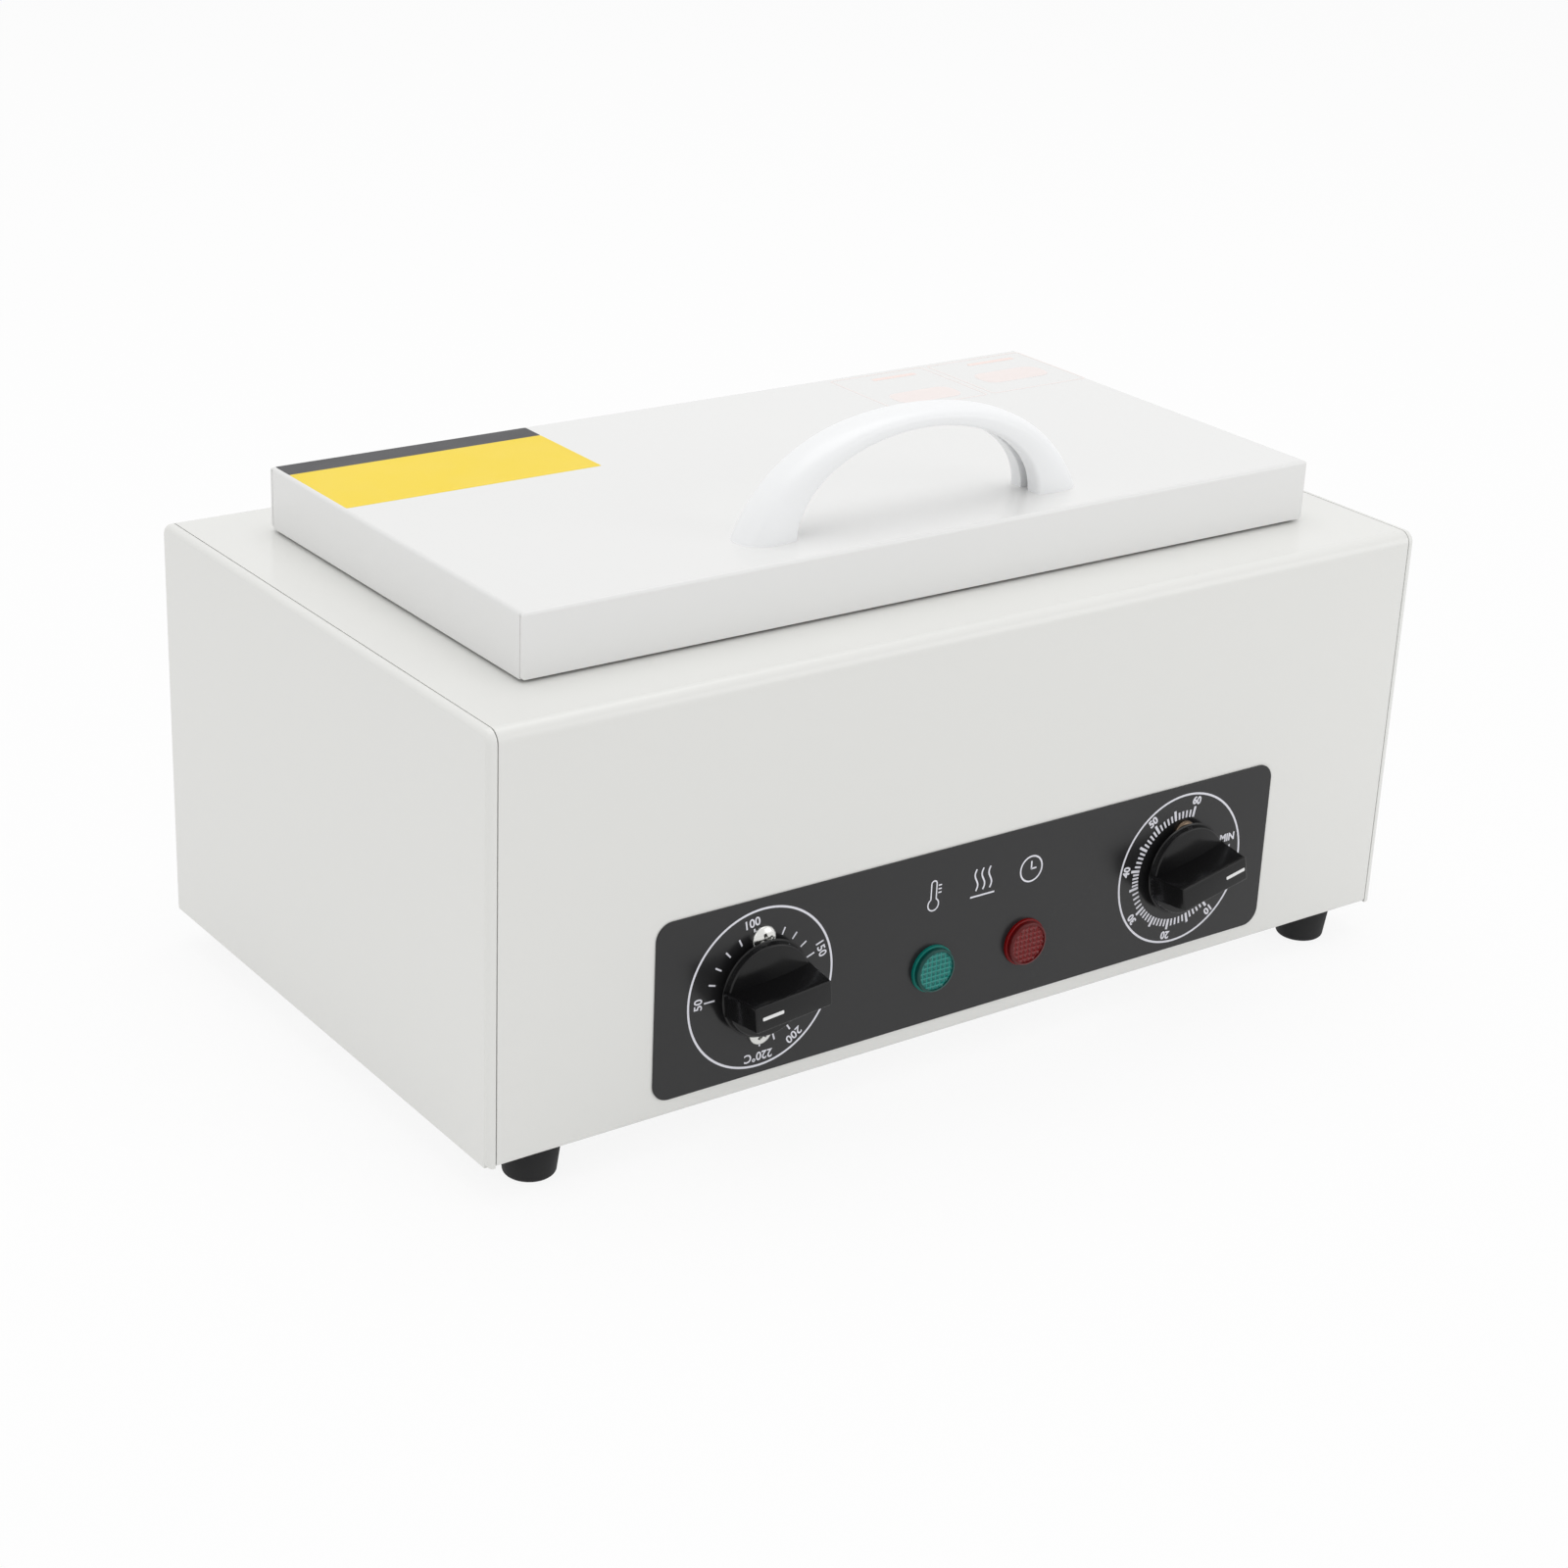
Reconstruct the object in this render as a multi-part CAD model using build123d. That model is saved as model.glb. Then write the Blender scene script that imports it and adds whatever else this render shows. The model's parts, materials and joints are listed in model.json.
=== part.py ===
from build123d import *
import math
import os

# Dry heat sterilizer: a bench instrument with a hinged lid over a heated chamber.
#
# The origin lies under the middle of the whole object, at the soles of the feet.
# +X is to the right as seen from the front, +Y to the back and +Z up. Lengths are
# in millimetres. Every piece is drawn where it sits with the lid shut, the knobs
# at their lower stops, the tray handles hanging and the fuse cap home.

# ---------------------------------------------------------------- whole object
body_width = 310.0
body_depth = 178.5
body_height = 118.0
foot_height = 10.5
knob_reach = 15.5
fuse_reach = 11.0

# ---------------------------------------------------------------- fits and gaps
seam_gap = 0.5
running_gap = 0.3
fit_gap = 0.05
seat_gap = 0.1
hole_gap = 0.25

# ---------------------------------------------------------------- outer sheet metal
sheet = 1.0
cover_bend = 3.5
cover_return = 15.0
return_bend = 1.6
panel_return = 12.0
panel_rim = 2.4
panel_roll = 1.8
panel_seam = 0.35
base_sheet = 1.2
vent_length = 30.0
vent_width = 4.0
vent_pitch = 12.0
vent_count = 9
vent_rows_y = 34.0
rear_vent_length = 20.0
rear_vent_width = 3.0
rear_vent_pitch = 8.0
rear_vent_count = 9
rear_vent_margin = 85.0
rear_vent_z = 36.0

# ---------------------------------------------------------------- screws
screw_m4 = 2.0
screw_m3 = 1.5
pan_head_width = 7.2
pan_head_height = 1.9
pan_head_side = 0.65
pan_head_shoulder = 1.6
pan_head_flat = 1.8
cross_width = 1.0
cross_length = 3.8
cross_depth = 1.1
flush_cross_width = 0.7
flush_cross_length = 3.0
nut_m4_width = 7.0
nut_m4_height = 3.2
nut_m3_width = 5.5
nut_m3_height = 2.4
thread_past_nut = 1.2

# ---------------------------------------------------------------- feet
foot_top_radius = 8.5
foot_sole_radius = 6.9
foot_sole_round = 1.0
foot_side_margin = 18.5
foot_front_margin = 10.3
foot_recess_radius = 4.4
foot_recess_depth = 6.0

# ---------------------------------------------------------------- lid
lid_width = 263.3
lid_depth = 133.6
lid_height = 17.5
lid_front_margin = 23.9
lid_gap = 0.8
lid_fold = 1.0
lid_seam_width = 0.25
lid_seam_depth = 0.4
lid_corner_notch = 0.5
lid_corner_clip = 0.9
pan_sheet = 0.8
pan_rim_rise = 2.3
pan_lip = 6.0
plug_depth = 6.0
plug_gap = 3.0
seal_width = 6.0
seal_thickness = 1.9

# ---------------------------------------------------------------- lid handle
handle_length = 113.0
handle_height = 29.4
handle_sink = 10.9
handle_width = 14.0
handle_waist = 12.6
handle_end_round = 4.8
handle_wall = 2.2
handle_crown = 3.6
handle_slot = 3.2
handle_offset_x = 0.6
handle_setback = 18.8
handle_hole_spacing = 97.0
handle_boss_radius = 4.2
handle_screw_bite = 8.0
finger_span = 81.2
finger_height = 24.4

# ---------------------------------------------------------------- lid hinges
hinge_width = 40.0
hinge_centre_x = 82.0
hinge_leaf = 1.2
hinge_pin_radius = 1.25
knuckle_radius = 2.7
knuckle_count = 5
leaf_length = 11.0
leaf_corner = 1.5
leaf_screw_spacing = 24.0
leaf_screw_out = 7.2
leaf_head_radius = 2.75
leaf_head_height = 1.1

# ---------------------------------------------------------------- chamber
chamber_width = 222.0
chamber_depth = 106.0
chamber_height = 60.0
chamber_sheet = 0.8
chamber_corner = 6.0
chamber_collar = 27.0
chamber_floor_round = 5.0
chamber_flange = 9.0
stud_radius = 2.0
stud_margin_x = 46.0
stud_margin_y = 9.0

# ---------------------------------------------------------------- instrument tray
tray_gap = 3.0
tray_height = 30.0
tray_sheet = 0.8
tray_stand = 3.0
tray_corner = 6.0
tray_rim = 1.6
tray_hole_radius = 2.6
tray_hole_pitch_x = 15.0
tray_hole_pitch_y = 14.0
tray_hole_columns = 13
tray_hole_rows = 5
tray_bump_radius = 3.0
bail_radius = 1.25
bail_reach = 20.0
bail_width = 50.0
bail_bend = 3.0
bail_end_bend = 1.4
bail_drop = 4.0
bail_inset = 6.0
ear_thickness = 1.2
ear_radius = 3.0

# ---------------------------------------------------------------- heater and insulation
heater_radius = 3.2
heater_runs = 4
heater_margin_x = 15.0
heater_margin_y = 17.0
heater_tail = 17.0
heater_tail_bend = 7.0
strap_width = 10.0
strap_thickness = 1.5
reflector_sheet = 0.6
pad_thickness = 14.0
jacket_thickness = 12.0
shield_sheet = 0.8
shield_margin = 4.0
bead_radius = 5.0
bead_length = 9.0
heater_pin_length = 14.5
cutout_radius = 7.5
cutout_height = 9.0

# ---------------------------------------------------------------- control panel
panel_width = 212.4
panel_height = 51.0
panel_thickness = 0.4
panel_corner = 5.0
panel_bottom = 5.0
dial_spacing = 146.3
dial_height = 31.0
shaft_hole_radius = 6.0
thermostat_screw_spacing = 28.0
timer_screw_spacing = 23.0

# ---------------------------------------------------------------- knobs
knob_rim_radius = 14.0
knob_edge_radius = 13.0
knob_back = 2.7
knob_rim_width = 0.7
knob_edge_reach = 4.8
knob_edge_round = 0.5
knob_dome = 0.9
knob_hub_radius = 6.0
knob_hub_back = 1.0
grip_length = 25.2
grip_width = 7.8
grip_face_length = 23.2
grip_face_width = 7.0
grip_edge = 0.4
temperature_rest = 183.2
timer_rest = 9.0
shaft_radius = 3.0
shaft_flat = 2.2
shaft_bite = 11.0
shaft_seat = 8.0
bushing_radius = 4.6

# ---------------------------------------------------------------- thermostat and timer
thermostat_width = 34.0
thermostat_height = 32.0
thermostat_depth = 20.0
bracket_sheet = 1.2
bracket_width = 14.0
bracket_length = 38.0
control_screw_length = 6.0
tab_width = 6.3
tab_thickness = 0.8
tab_length = 8.0
tab_margin = 4.0
bulb_radius = 3.0
bulb_length = 70.0
bulb_rise = 8.0
capillary_radius = 1.0
capillary_bend = 4.0
capillary_rise = 5.0
timer_width = 46.0
timer_height = 42.0
timer_room = 3.5
timer_corner = 4.0
bell_radius = 15.0
bell_depth = 7.0
bell_sheet = 1.0
bell_boss_radius = 3.0
bell_lift = 1.5

# ---------------------------------------------------------------- signal lamps
lamp_spacing = 32.3
lamp_height = 21.2
lamp_rim_radius = 7.0
lamp_rim_thickness = 1.4
lamp_lens_radius = 6.2
lamp_reach = 3.2
lamp_body_radius = 5.6
lamp_body_length = 24.0
lamp_clip_radius = 8.0
lamp_clip_thickness = 0.8

# ---------------------------------------------------------------- mains inlet and fuse
inlet_margin = 47.0
inlet_z = 36.0
inlet_flange_width = 48.0
inlet_flange_height = 23.0
inlet_flange_thickness = 3.0
inlet_corner = 3.0
inlet_body_width = 28.0
inlet_body_height = 20.0
inlet_body_depth = 19.0
socket_width = 24.4
socket_height = 16.4
socket_depth = 17.0
socket_chamfer = 5.0
inlet_tab_length = 8.0
inlet_pin_width = 2.0
inlet_pin_height = 4.0
inlet_pin_length = 11.5
inlet_pin_spacing = 14.0
earth_pin_rise = 3.5
inlet_screw_spacing = 40.0
fuse_spacing = 42.0
fuse_flange_radius = 7.5
fuse_flange_thickness = 2.0
fuse_barrel_radius = 5.9
fuse_body_radius = 5.2
fuse_body_length = 30.0
fuse_nut_width = 17.0
fuse_nut_height = 3.5
fuse_cap_radius = 6.2
fuse_stem_radius = 4.0
fuse_stem_length = 12.0
fuse_radius = 2.6
fuse_length = 20.0
fuse_bite = 6.0
fuse_cap_slot = 1.2
fuse_cap_round = 0.8
fuse_slide_gap = 0.08
earth_screw_margin = 23.0
earth_screw_z = 56.0

# ---------------------------------------------------------------- terminal block
block_ways = 3
block_pitch = 11.0
block_depth = 20.0
block_height = 15.0
block_hole_radius = 2.6
block_margin = 93.0
block_y = 56.0
block_screw_spacing = 22.0
block_bore_height = 7.0
base_screw_margin = 65.0
base_screw_inset = 9.0
base_screw_bite = 3.0

# ================================================================ places
whole_depth = knob_reach + body_depth + fuse_reach
front_y = knob_reach - whole_depth / 2
back_y = front_y + body_depth
side_x = body_width / 2
cover_x = side_x - panel_rim - panel_seam
inlet_x = side_x - inlet_margin
fuse_x = inlet_x - fuse_spacing
earth_screw_x = side_x - earth_screw_margin
block_x = side_x - block_margin
rear_vent_x = rear_vent_margin - side_x
floor_z = foot_height
top_z = floor_z + body_height

lid_front_y = front_y + lid_front_margin
lid_back_y = lid_front_y + lid_depth
lid_centre_y = (lid_front_y + lid_back_y) / 2
lid_base_z = top_z + lid_gap
lid_top_z = lid_base_z + lid_height

knuckle_offset = knuckle_radius + running_gap
hinge_y = lid_back_y + knuckle_offset
hinge_z = top_z + knuckle_offset

base_top_z = floor_z + sheet + base_sheet
tub_floor_z = top_z - chamber_height
tub_under_z = tub_floor_z - chamber_sheet
tub_front_y = lid_centre_y - chamber_depth / 2 - chamber_sheet
bulb_y = tub_front_y - seat_gap - bulb_radius
bulb_z = tub_under_z + bulb_rise
tray_floor_z = tub_floor_z + tray_stand
tray_rim_z = tray_floor_z + tray_height
tray_length = chamber_width - 2 * tray_gap
tray_width = chamber_depth - 2 * tray_gap
bail_z = tray_rim_z - bail_drop
bail_x = tray_length / 2 - tray_sheet - bail_inset

stud_x = chamber_width / 2 - stud_margin_x
stud_y = chamber_depth / 2 - stud_margin_y
heater_end_x = chamber_width / 2 - heater_margin_x
heater_pitch = (chamber_depth - 2 * heater_margin_y) / (heater_runs - 1)
heater_z = tub_under_z - seat_gap - heater_radius
strap_top_z = heater_z - heater_radius - seat_gap
reflector_top_z = strap_top_z - strap_thickness
pad_top_z = reflector_top_z - reflector_sheet
shield_top_z = pad_top_z - pad_thickness
shield_under_z = shield_top_z - shield_sheet

handle_y = lid_front_y + handle_setback
dial_x = dial_spacing / 2
dial_z = floor_z + dial_height
shaft_tip = knob_hub_back + shaft_bite
bracket_back = -sheet - bracket_sheet
pad_front_y = lid_centre_y - chamber_depth / 2 + shield_margin
timer_depth = pad_front_y - timer_room - bell_sheet - bell_depth - front_y + bracket_back
lamp_z = floor_z + lamp_height
panel_z = floor_z + panel_bottom + panel_height / 2
panel_face_y = front_y - panel_thickness


# ================================================================ building blocks
def block(x0, x1, y0, y1, z0, z1):
    """A box between two opposite corners."""
    middle = Pos((x0 + x1) / 2, (y0 + y1) / 2, (z0 + z1) / 2)
    return middle * Box(abs(x1 - x0), abs(y1 - y0), abs(z1 - z0))


def post(radius, x, y, z0, z1):
    """A round bar standing along Z."""
    return Pos(x, y, (z0 + z1) / 2) * Cylinder(radius, abs(z1 - z0))


def bar(radius, x, z, y0, y1):
    """A round bar lying along Y."""
    return Pos(x, (y0 + y1) / 2, z) * Rot(90, 0, 0) * Cylinder(radius, abs(y1 - y0))


def axle(radius, y, z, x0, x1):
    """A round bar lying along X."""
    return Pos((x0 + x1) / 2, y, z) * Rot(0, 90, 0) * Cylinder(radius, abs(x1 - x0))


def rounded_slab(width, depth, corner, z0, z1, y=0.0):
    """A plate with rounded upright corners between two heights, centred in X."""
    outline = RectangleRounded(width, depth, corner)
    return Pos(0, y, z0) * extrude(outline, amount=z1 - z0)


def turned(points):
    """A body of revolution about Z from the corner points (radius, height) of its half section."""
    outline = make_face(Plane.XZ * Polyline(*points, close=True))
    return revolve(outline, Axis.Z)


def pipe(points, radius, bend):
    """A round wire or tube of one radius along straight runs joined by arcs."""
    path = FilletPolyline(*points, radius=bend)
    end = Plane(origin=path @ 0, z_dir=path % 0)
    return sweep(end * Circle(radius), path=path)


def on_front(x, z):
    """The place on the cabinet's front where local +Z points out to the front and local +Y up."""
    return Pos(x, front_y, z) * Rot(90, 0, 0)


def on_back(x, z):
    """The place on the cabinet's back where local +Z points out to the back and local +Y down."""
    return Pos(x, back_y, z) * Rot(-90, 0, 0)


def joined(pieces):
    """All the pieces as one shape."""
    pieces = list(pieces)
    whole = pieces[0]
    for piece in pieces[1:]:
        whole += piece
    return whole


def group(pieces):
    """Separate equal pieces kept as separate solids of one node."""
    return Compound(children=list(pieces))


def cross_recess(top):
    """The cut of a cross recess, sunk from the height top."""
    slot = Box(cross_length, cross_width, 2 * cross_depth)
    return Pos(0, 0, top) * (slot + Rot(0, 0, 90) * slot)


def pan_screw(radius, grip):
    """A pan-head cross screw along Z: the head stands on z = 0 and the shank reaches down by grip."""
    rim = pan_head_width / 2
    head = turned([(0, 0), (rim, 0), (rim, pan_head_side), (rim - pan_head_side, pan_head_shoulder),
                   (pan_head_flat, pan_head_height), (0, pan_head_height)])
    head -= Rot(0, 0, 45) * cross_recess(pan_head_height)
    return head + post(radius, 0, 0, -grip, 0)


def nut(width, height, radius):
    """A hexagon nut along Z with its lower face on z = 0."""
    blank = extrude(RegularPolygon(width / 2, 6, major_radius=False), amount=height)
    return blank - post(radius, 0, 0, -height, 2 * height)


# ================================================================ cabinet sheet metal
def cover_profile():
    """Side view of the bent cover sheet: front, top and back with a short return at each foot."""
    half = sheet / 2
    low = floor_z + half
    high = top_z - half
    near = front_y + half
    far = back_y - half
    corners = [(near + cover_return, low), (near, low), (near, high),
               (far, high), (far, low), (far - cover_return, low)]
    bends = [return_bend - half, cover_bend - half, cover_bend - half, return_bend - half]
    middle_line = FilletPolyline(*corners, radius=bends)
    return Plane.YZ * trace(middle_line, line_width=sheet)


def foot_places():
    """The four feet: name, x and y of each."""
    x = side_x - foot_side_margin
    near = front_y + foot_front_margin
    far = back_y - foot_front_margin
    return [("front_left", -x, near), ("front_right", x, near),
            ("back_left", -x, far), ("back_right", x, far)]


def control_screw_places():
    """Centres of the four screws that hold the thermostat and the timer to the front."""
    pairs = ((-dial_x, thermostat_screw_spacing / 2), (dial_x, timer_screw_spacing / 2))
    return [(x, dial_z + side * half) for x, half in pairs for side in (-1, 1)]


def front_holes(y0, y1):
    """The holes that the knob shafts, control screws and lamps need between two depths."""
    holes = [bar(shaft_hole_radius, x, dial_z, y0, y1) for x in (-dial_x, dial_x)]
    holes += [bar(screw_m4 + hole_gap, x, z, y0, y1) for x, z in control_screw_places()]
    holes += [bar(lamp_body_radius + hole_gap, x, lamp_z, y0, y1)
              for x in (-lamp_spacing / 2, lamp_spacing / 2)]
    return joined(holes)


def leaf_screw_places(hinge_x):
    """X of the two screws in each leaf of one hinge."""
    return [hinge_x - leaf_screw_spacing / 2, hinge_x + leaf_screw_spacing / 2]


def hinge_centres():
    """X of the middle of each lid hinge."""
    return [-hinge_centre_x, hinge_centre_x]


def rear_cut_outs():
    """Inlet and fuse holes, screw holes and vent slots of the rear wall."""
    y0 = back_y - 2 * sheet
    y1 = back_y + sheet
    width = inlet_body_width + 2 * hole_gap
    height = inlet_body_height + 2 * hole_gap
    cuts = [block(inlet_x - width / 2, inlet_x + width / 2, y0, y1,
                  inlet_z - height / 2, inlet_z + height / 2)]
    cuts += [bar(screw_m3 + hole_gap, x, inlet_z, y0, y1) for x in inlet_screw_places()]
    cuts.append(bar(fuse_barrel_radius + hole_gap, fuse_x, inlet_z, y0, y1))
    cuts.append(bar(screw_m4 + hole_gap, earth_screw_x, earth_screw_z, y0, y1))
    slot = Plane.XZ * SlotOverall(rear_vent_length, rear_vent_width, rotation=90)
    for number in range(rear_vent_count):
        x = rear_vent_x + (number - (rear_vent_count - 1) / 2) * rear_vent_pitch
        cuts.append(Pos(x, y1, rear_vent_z) * extrude(slot, amount=y1 - y0))
    return joined(cuts)


def wrap_cover():
    """The white cover: one bent sheet that makes the front, the top and the back."""
    cover = extrude(cover_profile(), amount=cover_x, both=True)
    end = panel_return + seam_gap
    for x0, x1 in ((-side_x, -side_x + end), (side_x - end, side_x)):
        low = floor_z - sheet
        high = floor_z + return_bend + seam_gap
        cover -= block(x0, x1, front_y + sheet + seam_gap, back_y - sheet - seam_gap, low, high)
    opening_width = chamber_width + 2 * chamber_sheet + 2 * hole_gap
    opening_depth = chamber_depth + 2 * chamber_sheet + 2 * hole_gap
    cover -= rounded_slab(opening_width, opening_depth, chamber_corner + chamber_sheet,
                          top_z - 2 * sheet, top_z + sheet, lid_centre_y)
    cover -= front_holes(front_y - sheet, front_y + 2 * sheet)
    cover -= rear_cut_outs()
    for hinge_x in hinge_centres():
        for x in leaf_screw_places(hinge_x):
            cover -= post(screw_m3 + hole_gap, x, hinge_y + leaf_screw_out,
                          top_z - 2 * sheet, top_z + sheet)
    for _, x, y in foot_places():
        cover -= post(screw_m4 + hole_gap, x, y, floor_z - sheet, floor_z + 2 * sheet)
    for x, y in base_screw_places():
        cover -= post(screw_m3 + hole_gap, x, y, floor_z - sheet, floor_z + 2 * sheet)
    return cover


def side_outline(inset):
    """The end panel's outline in a plane across X, drawn in from the cover's outside by inset."""
    foot = max(inset - sheet - seam_gap, 0)
    near = front_y + inset
    far = back_y - inset
    low = floor_z + foot
    high = top_z - inset
    blank = Pos((near + far) / 2, (low + high) / 2) * Rectangle(far - near, high - low)
    upper = blank.vertices().group_by(Axis.Y)[-1]
    return Plane.YZ * fillet(upper, cover_bend - inset)


def side_panel(side):
    """An end panel with a rolled rim flush with the cover and a joggled return inside it.

    The side is -1 for the left and 1 for the right.
    """
    skin = sheet + seam_gap
    rim = extrude(side_outline(0), amount=panel_rim)
    rim = fillet(rim.faces().sort_by(Axis.X)[-1].edges(), panel_roll)
    pan = extrude(side_outline(skin), amount=panel_return) + Pos(panel_return - panel_rim, 0, 0) * rim
    hollow = extrude(side_outline(skin + sheet), amount=panel_return)
    pan -= Pos(-sheet, 0, 0) * hollow
    pan = Pos(side_x - panel_return, 0, 0) * pan
    for _, x, y in foot_places():
        pan -= post(screw_m4 + hole_gap, abs(x), y, floor_z - sheet, floor_z + 2 * sheet)
    return pan if side > 0 else mirror(pan, about=Plane.YZ)


def base_plate():
    """The bottom plate, which lies on the returns of the cover and the end panels."""
    margin = sheet + seam_gap + sheet + seam_gap
    x = side_x - sheet - seam_gap
    plate = block(-x, x, front_y + margin, back_y - margin, floor_z + sheet, base_top_z)
    slot = SlotOverall(vent_length, vent_width, rotation=90)
    cut = extrude(slot, amount=4 * base_sheet, both=True)
    for number in range(vent_count):
        along = (number - (vent_count - 1) / 2) * vent_pitch
        for across in (-vent_rows_y / 2, vent_rows_y / 2):
            plate -= Pos(along, lid_centre_y + across, base_top_z) * cut
    for _, foot_x, foot_y in foot_places():
        plate -= post(screw_m4 + hole_gap, foot_x, foot_y, floor_z, base_top_z + base_sheet)
    for screw_x in block_screw_places():
        plate -= post(screw_m3 + hole_gap, screw_x, block_y, floor_z, base_top_z + base_sheet)
    for screw_x, screw_y in base_screw_places():
        plate -= post(screw_m3 + fit_gap, screw_x, screw_y, floor_z, base_top_z + base_sheet)
    return plate


# ================================================================ feet
def foot(x, y):
    """A tapered rubber foot with a sunk seat for its screw."""
    rubber = turned([(0, 0), (foot_sole_radius, 0), (foot_top_radius, foot_height), (0, foot_height)])
    sole = rubber.edges().group_by(Axis.Z)[0]
    rubber = fillet(sole, foot_sole_round)
    rubber -= post(foot_recess_radius, 0, 0, -foot_height, foot_recess_depth)
    rubber -= post(screw_m4 + fit_gap, 0, 0, 0, 2 * foot_height)
    return Pos(x, y, 0) * rubber


def foot_screws():
    """The screws that hold the feet, head down in the recess."""
    grip = foot_height - foot_recess_depth + sheet + base_sheet + nut_m4_height + thread_past_nut
    screw = Rot(180, 0, 0) * pan_screw(screw_m4, grip)
    return group(Pos(x, y, foot_recess_depth) * screw for _, x, y in foot_places())


def foot_nuts():
    """The nuts on the foot screws, inside the base."""
    piece = nut(nut_m4_width, nut_m4_height, screw_m4 + fit_gap)
    return group(Pos(x, y, base_top_z) * piece for _, x, y in foot_places())


# ================================================================ chamber and heater
def tub_blank(growth, low, high, floor_round):
    """The chamber's form, grown outwards by growth, between two heights."""
    blank = rounded_slab(chamber_width + 2 * growth, chamber_depth + 2 * growth,
                         chamber_corner + growth, low, high, lid_centre_y)
    return fillet(blank.faces().sort_by(Axis.Z)[0].edges(), floor_round + growth)


def stud_places():
    """Centres of the four studs under the chamber."""
    return [(x, lid_centre_y + y) for x in (-stud_x, stud_x) for y in (-stud_y, stud_y)]


def chamber_tub():
    """The stainless chamber: a drawn tub with four studs, and the flanged collar welded above it."""
    flange_top = top_z + chamber_sheet
    flange = rounded_slab(chamber_width + 2 * chamber_flange, chamber_depth + 2 * chamber_flange,
                          chamber_corner + chamber_flange, top_z, flange_top, lid_centre_y)
    tub = tub_blank(chamber_sheet, tub_under_z, flange_top, chamber_floor_round) + flange
    tub -= tub_blank(0, tub_floor_z, flange_top + chamber_sheet, chamber_floor_round)
    stud_end = shield_under_z - nut_m4_height - thread_past_nut
    for x, y in stud_places():
        tub += post(stud_radius, x, y, stud_end, tub_under_z + chamber_sheet / 2)
    seam_z = top_z - chamber_collar
    above = block(-side_x, side_x, front_y, back_y, seam_z, flange_top + chamber_sheet)
    return group([tub - Pos(0, 0, -seat_gap) * above, tub & above])


def heater_run_places():
    """Y of each straight run of the heating element."""
    middle = (heater_runs - 1) / 2
    return [lid_centre_y + (number - middle) * heater_pitch for number in range(heater_runs)]


def heating_element():
    """The tubular element: straight runs under the chamber floor and two tails turned down."""
    tail_z = heater_z - heater_tail
    rows = heater_run_places()
    points = [(heater_end_x, rows[0], tail_z)]
    side = 1
    for y in rows:
        points.append((side * heater_end_x, y, heater_z))
        side = -side
        points.append((side * heater_end_x, y, heater_z))
    points.append((heater_end_x, rows[-1], tail_z))
    turns = [heater_pitch / 2 - fit_gap] * (len(points) - 4)
    return pipe(points, heater_radius, [heater_tail_bend] + turns + [heater_tail_bend])


def heater_beads():
    """Ceramic beads and screw pins on the two ends of the element."""
    tail_z = heater_z - heater_tail
    beads = []
    for y in (heater_run_places()[0], heater_run_places()[-1]):
        bead = post(bead_radius, heater_end_x, y, tail_z - bead_length, tail_z)
        beads.append(bead + post(stud_radius, heater_end_x, y, tail_z - heater_pin_length, tail_z))
    return group(beads)


def heater_straps():
    """The two flat straps that press the element against the chamber."""
    straps = []
    half = stud_y + strap_width / 2
    for x in (-stud_x, stud_x):
        strap = block(x - strap_width / 2, x + strap_width / 2,
                      lid_centre_y - half, lid_centre_y + half, reflector_top_z, strap_top_z)
        straps.append(strap - stud_holes(reflector_top_z - strap_thickness, strap_top_z + sheet))
    return group(straps)


def stud_holes(low, high):
    """Clearance holes for the chamber studs."""
    return joined(post(stud_radius + hole_gap, x, y, low, high) for x, y in stud_places())


def tail_holes(low, high):
    """Clearance holes for the two tails of the element."""
    rows = (heater_run_places()[0], heater_run_places()[-1])
    return joined(post(bead_radius + hole_gap, heater_end_x, y, low, high) for y in rows)


def under_sheet(margin, low, high):
    """A plate below the chamber with holes for the studs, the tails and the cut-out."""
    plate = rounded_slab(chamber_width - 2 * margin, chamber_depth - 2 * margin,
                         chamber_corner, low, high, lid_centre_y)
    plate -= stud_holes(low - sheet, high + sheet)
    return plate - tail_holes(low - sheet, high + sheet)


def cutout_hole(low, high):
    """Room for the thermal cut-out and its two tabs."""
    return post(cutout_radius + 2 * seam_gap, 0, lid_centre_y, low, high)


def reflector_plate():
    """The bright sheet that throws the element's heat back at the chamber."""
    plate = under_sheet(shield_margin, pad_top_z, reflector_top_z)
    return plate - cutout_hole(pad_top_z - sheet, reflector_top_z + sheet)


def insulation_pad():
    """The mineral wool pad below the reflector."""
    pad = under_sheet(shield_margin, shield_top_z, pad_top_z)
    return pad - cutout_hole(shield_top_z - sheet, pad_top_z + sheet)


def heat_shield():
    """The sheet that carries the pad, held up by the chamber's studs."""
    return under_sheet(shield_margin, shield_under_z, shield_top_z)


def shield_nuts():
    """The nuts that hold the stack under the chamber together."""
    piece = nut(nut_m4_width, nut_m4_height, stud_radius + fit_gap)
    return group(Pos(x, y, shield_under_z - nut_m4_height) * piece for x, y in stud_places())


def thermal_cutout():
    """A disc cut-out screwed flat to the chamber floor, with two tabs."""
    can = post(cutout_radius, 0, lid_centre_y, tub_under_z - cutout_height, tub_under_z)
    for x in (-cutout_radius / 2, cutout_radius / 2):
        low = tub_under_z - cutout_height - tab_length
        can += block(x - tab_thickness / 2, x + tab_thickness / 2, lid_centre_y - tab_width / 2,
                     lid_centre_y + tab_width / 2, low, tub_under_z - cutout_height)
    return can


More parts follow.
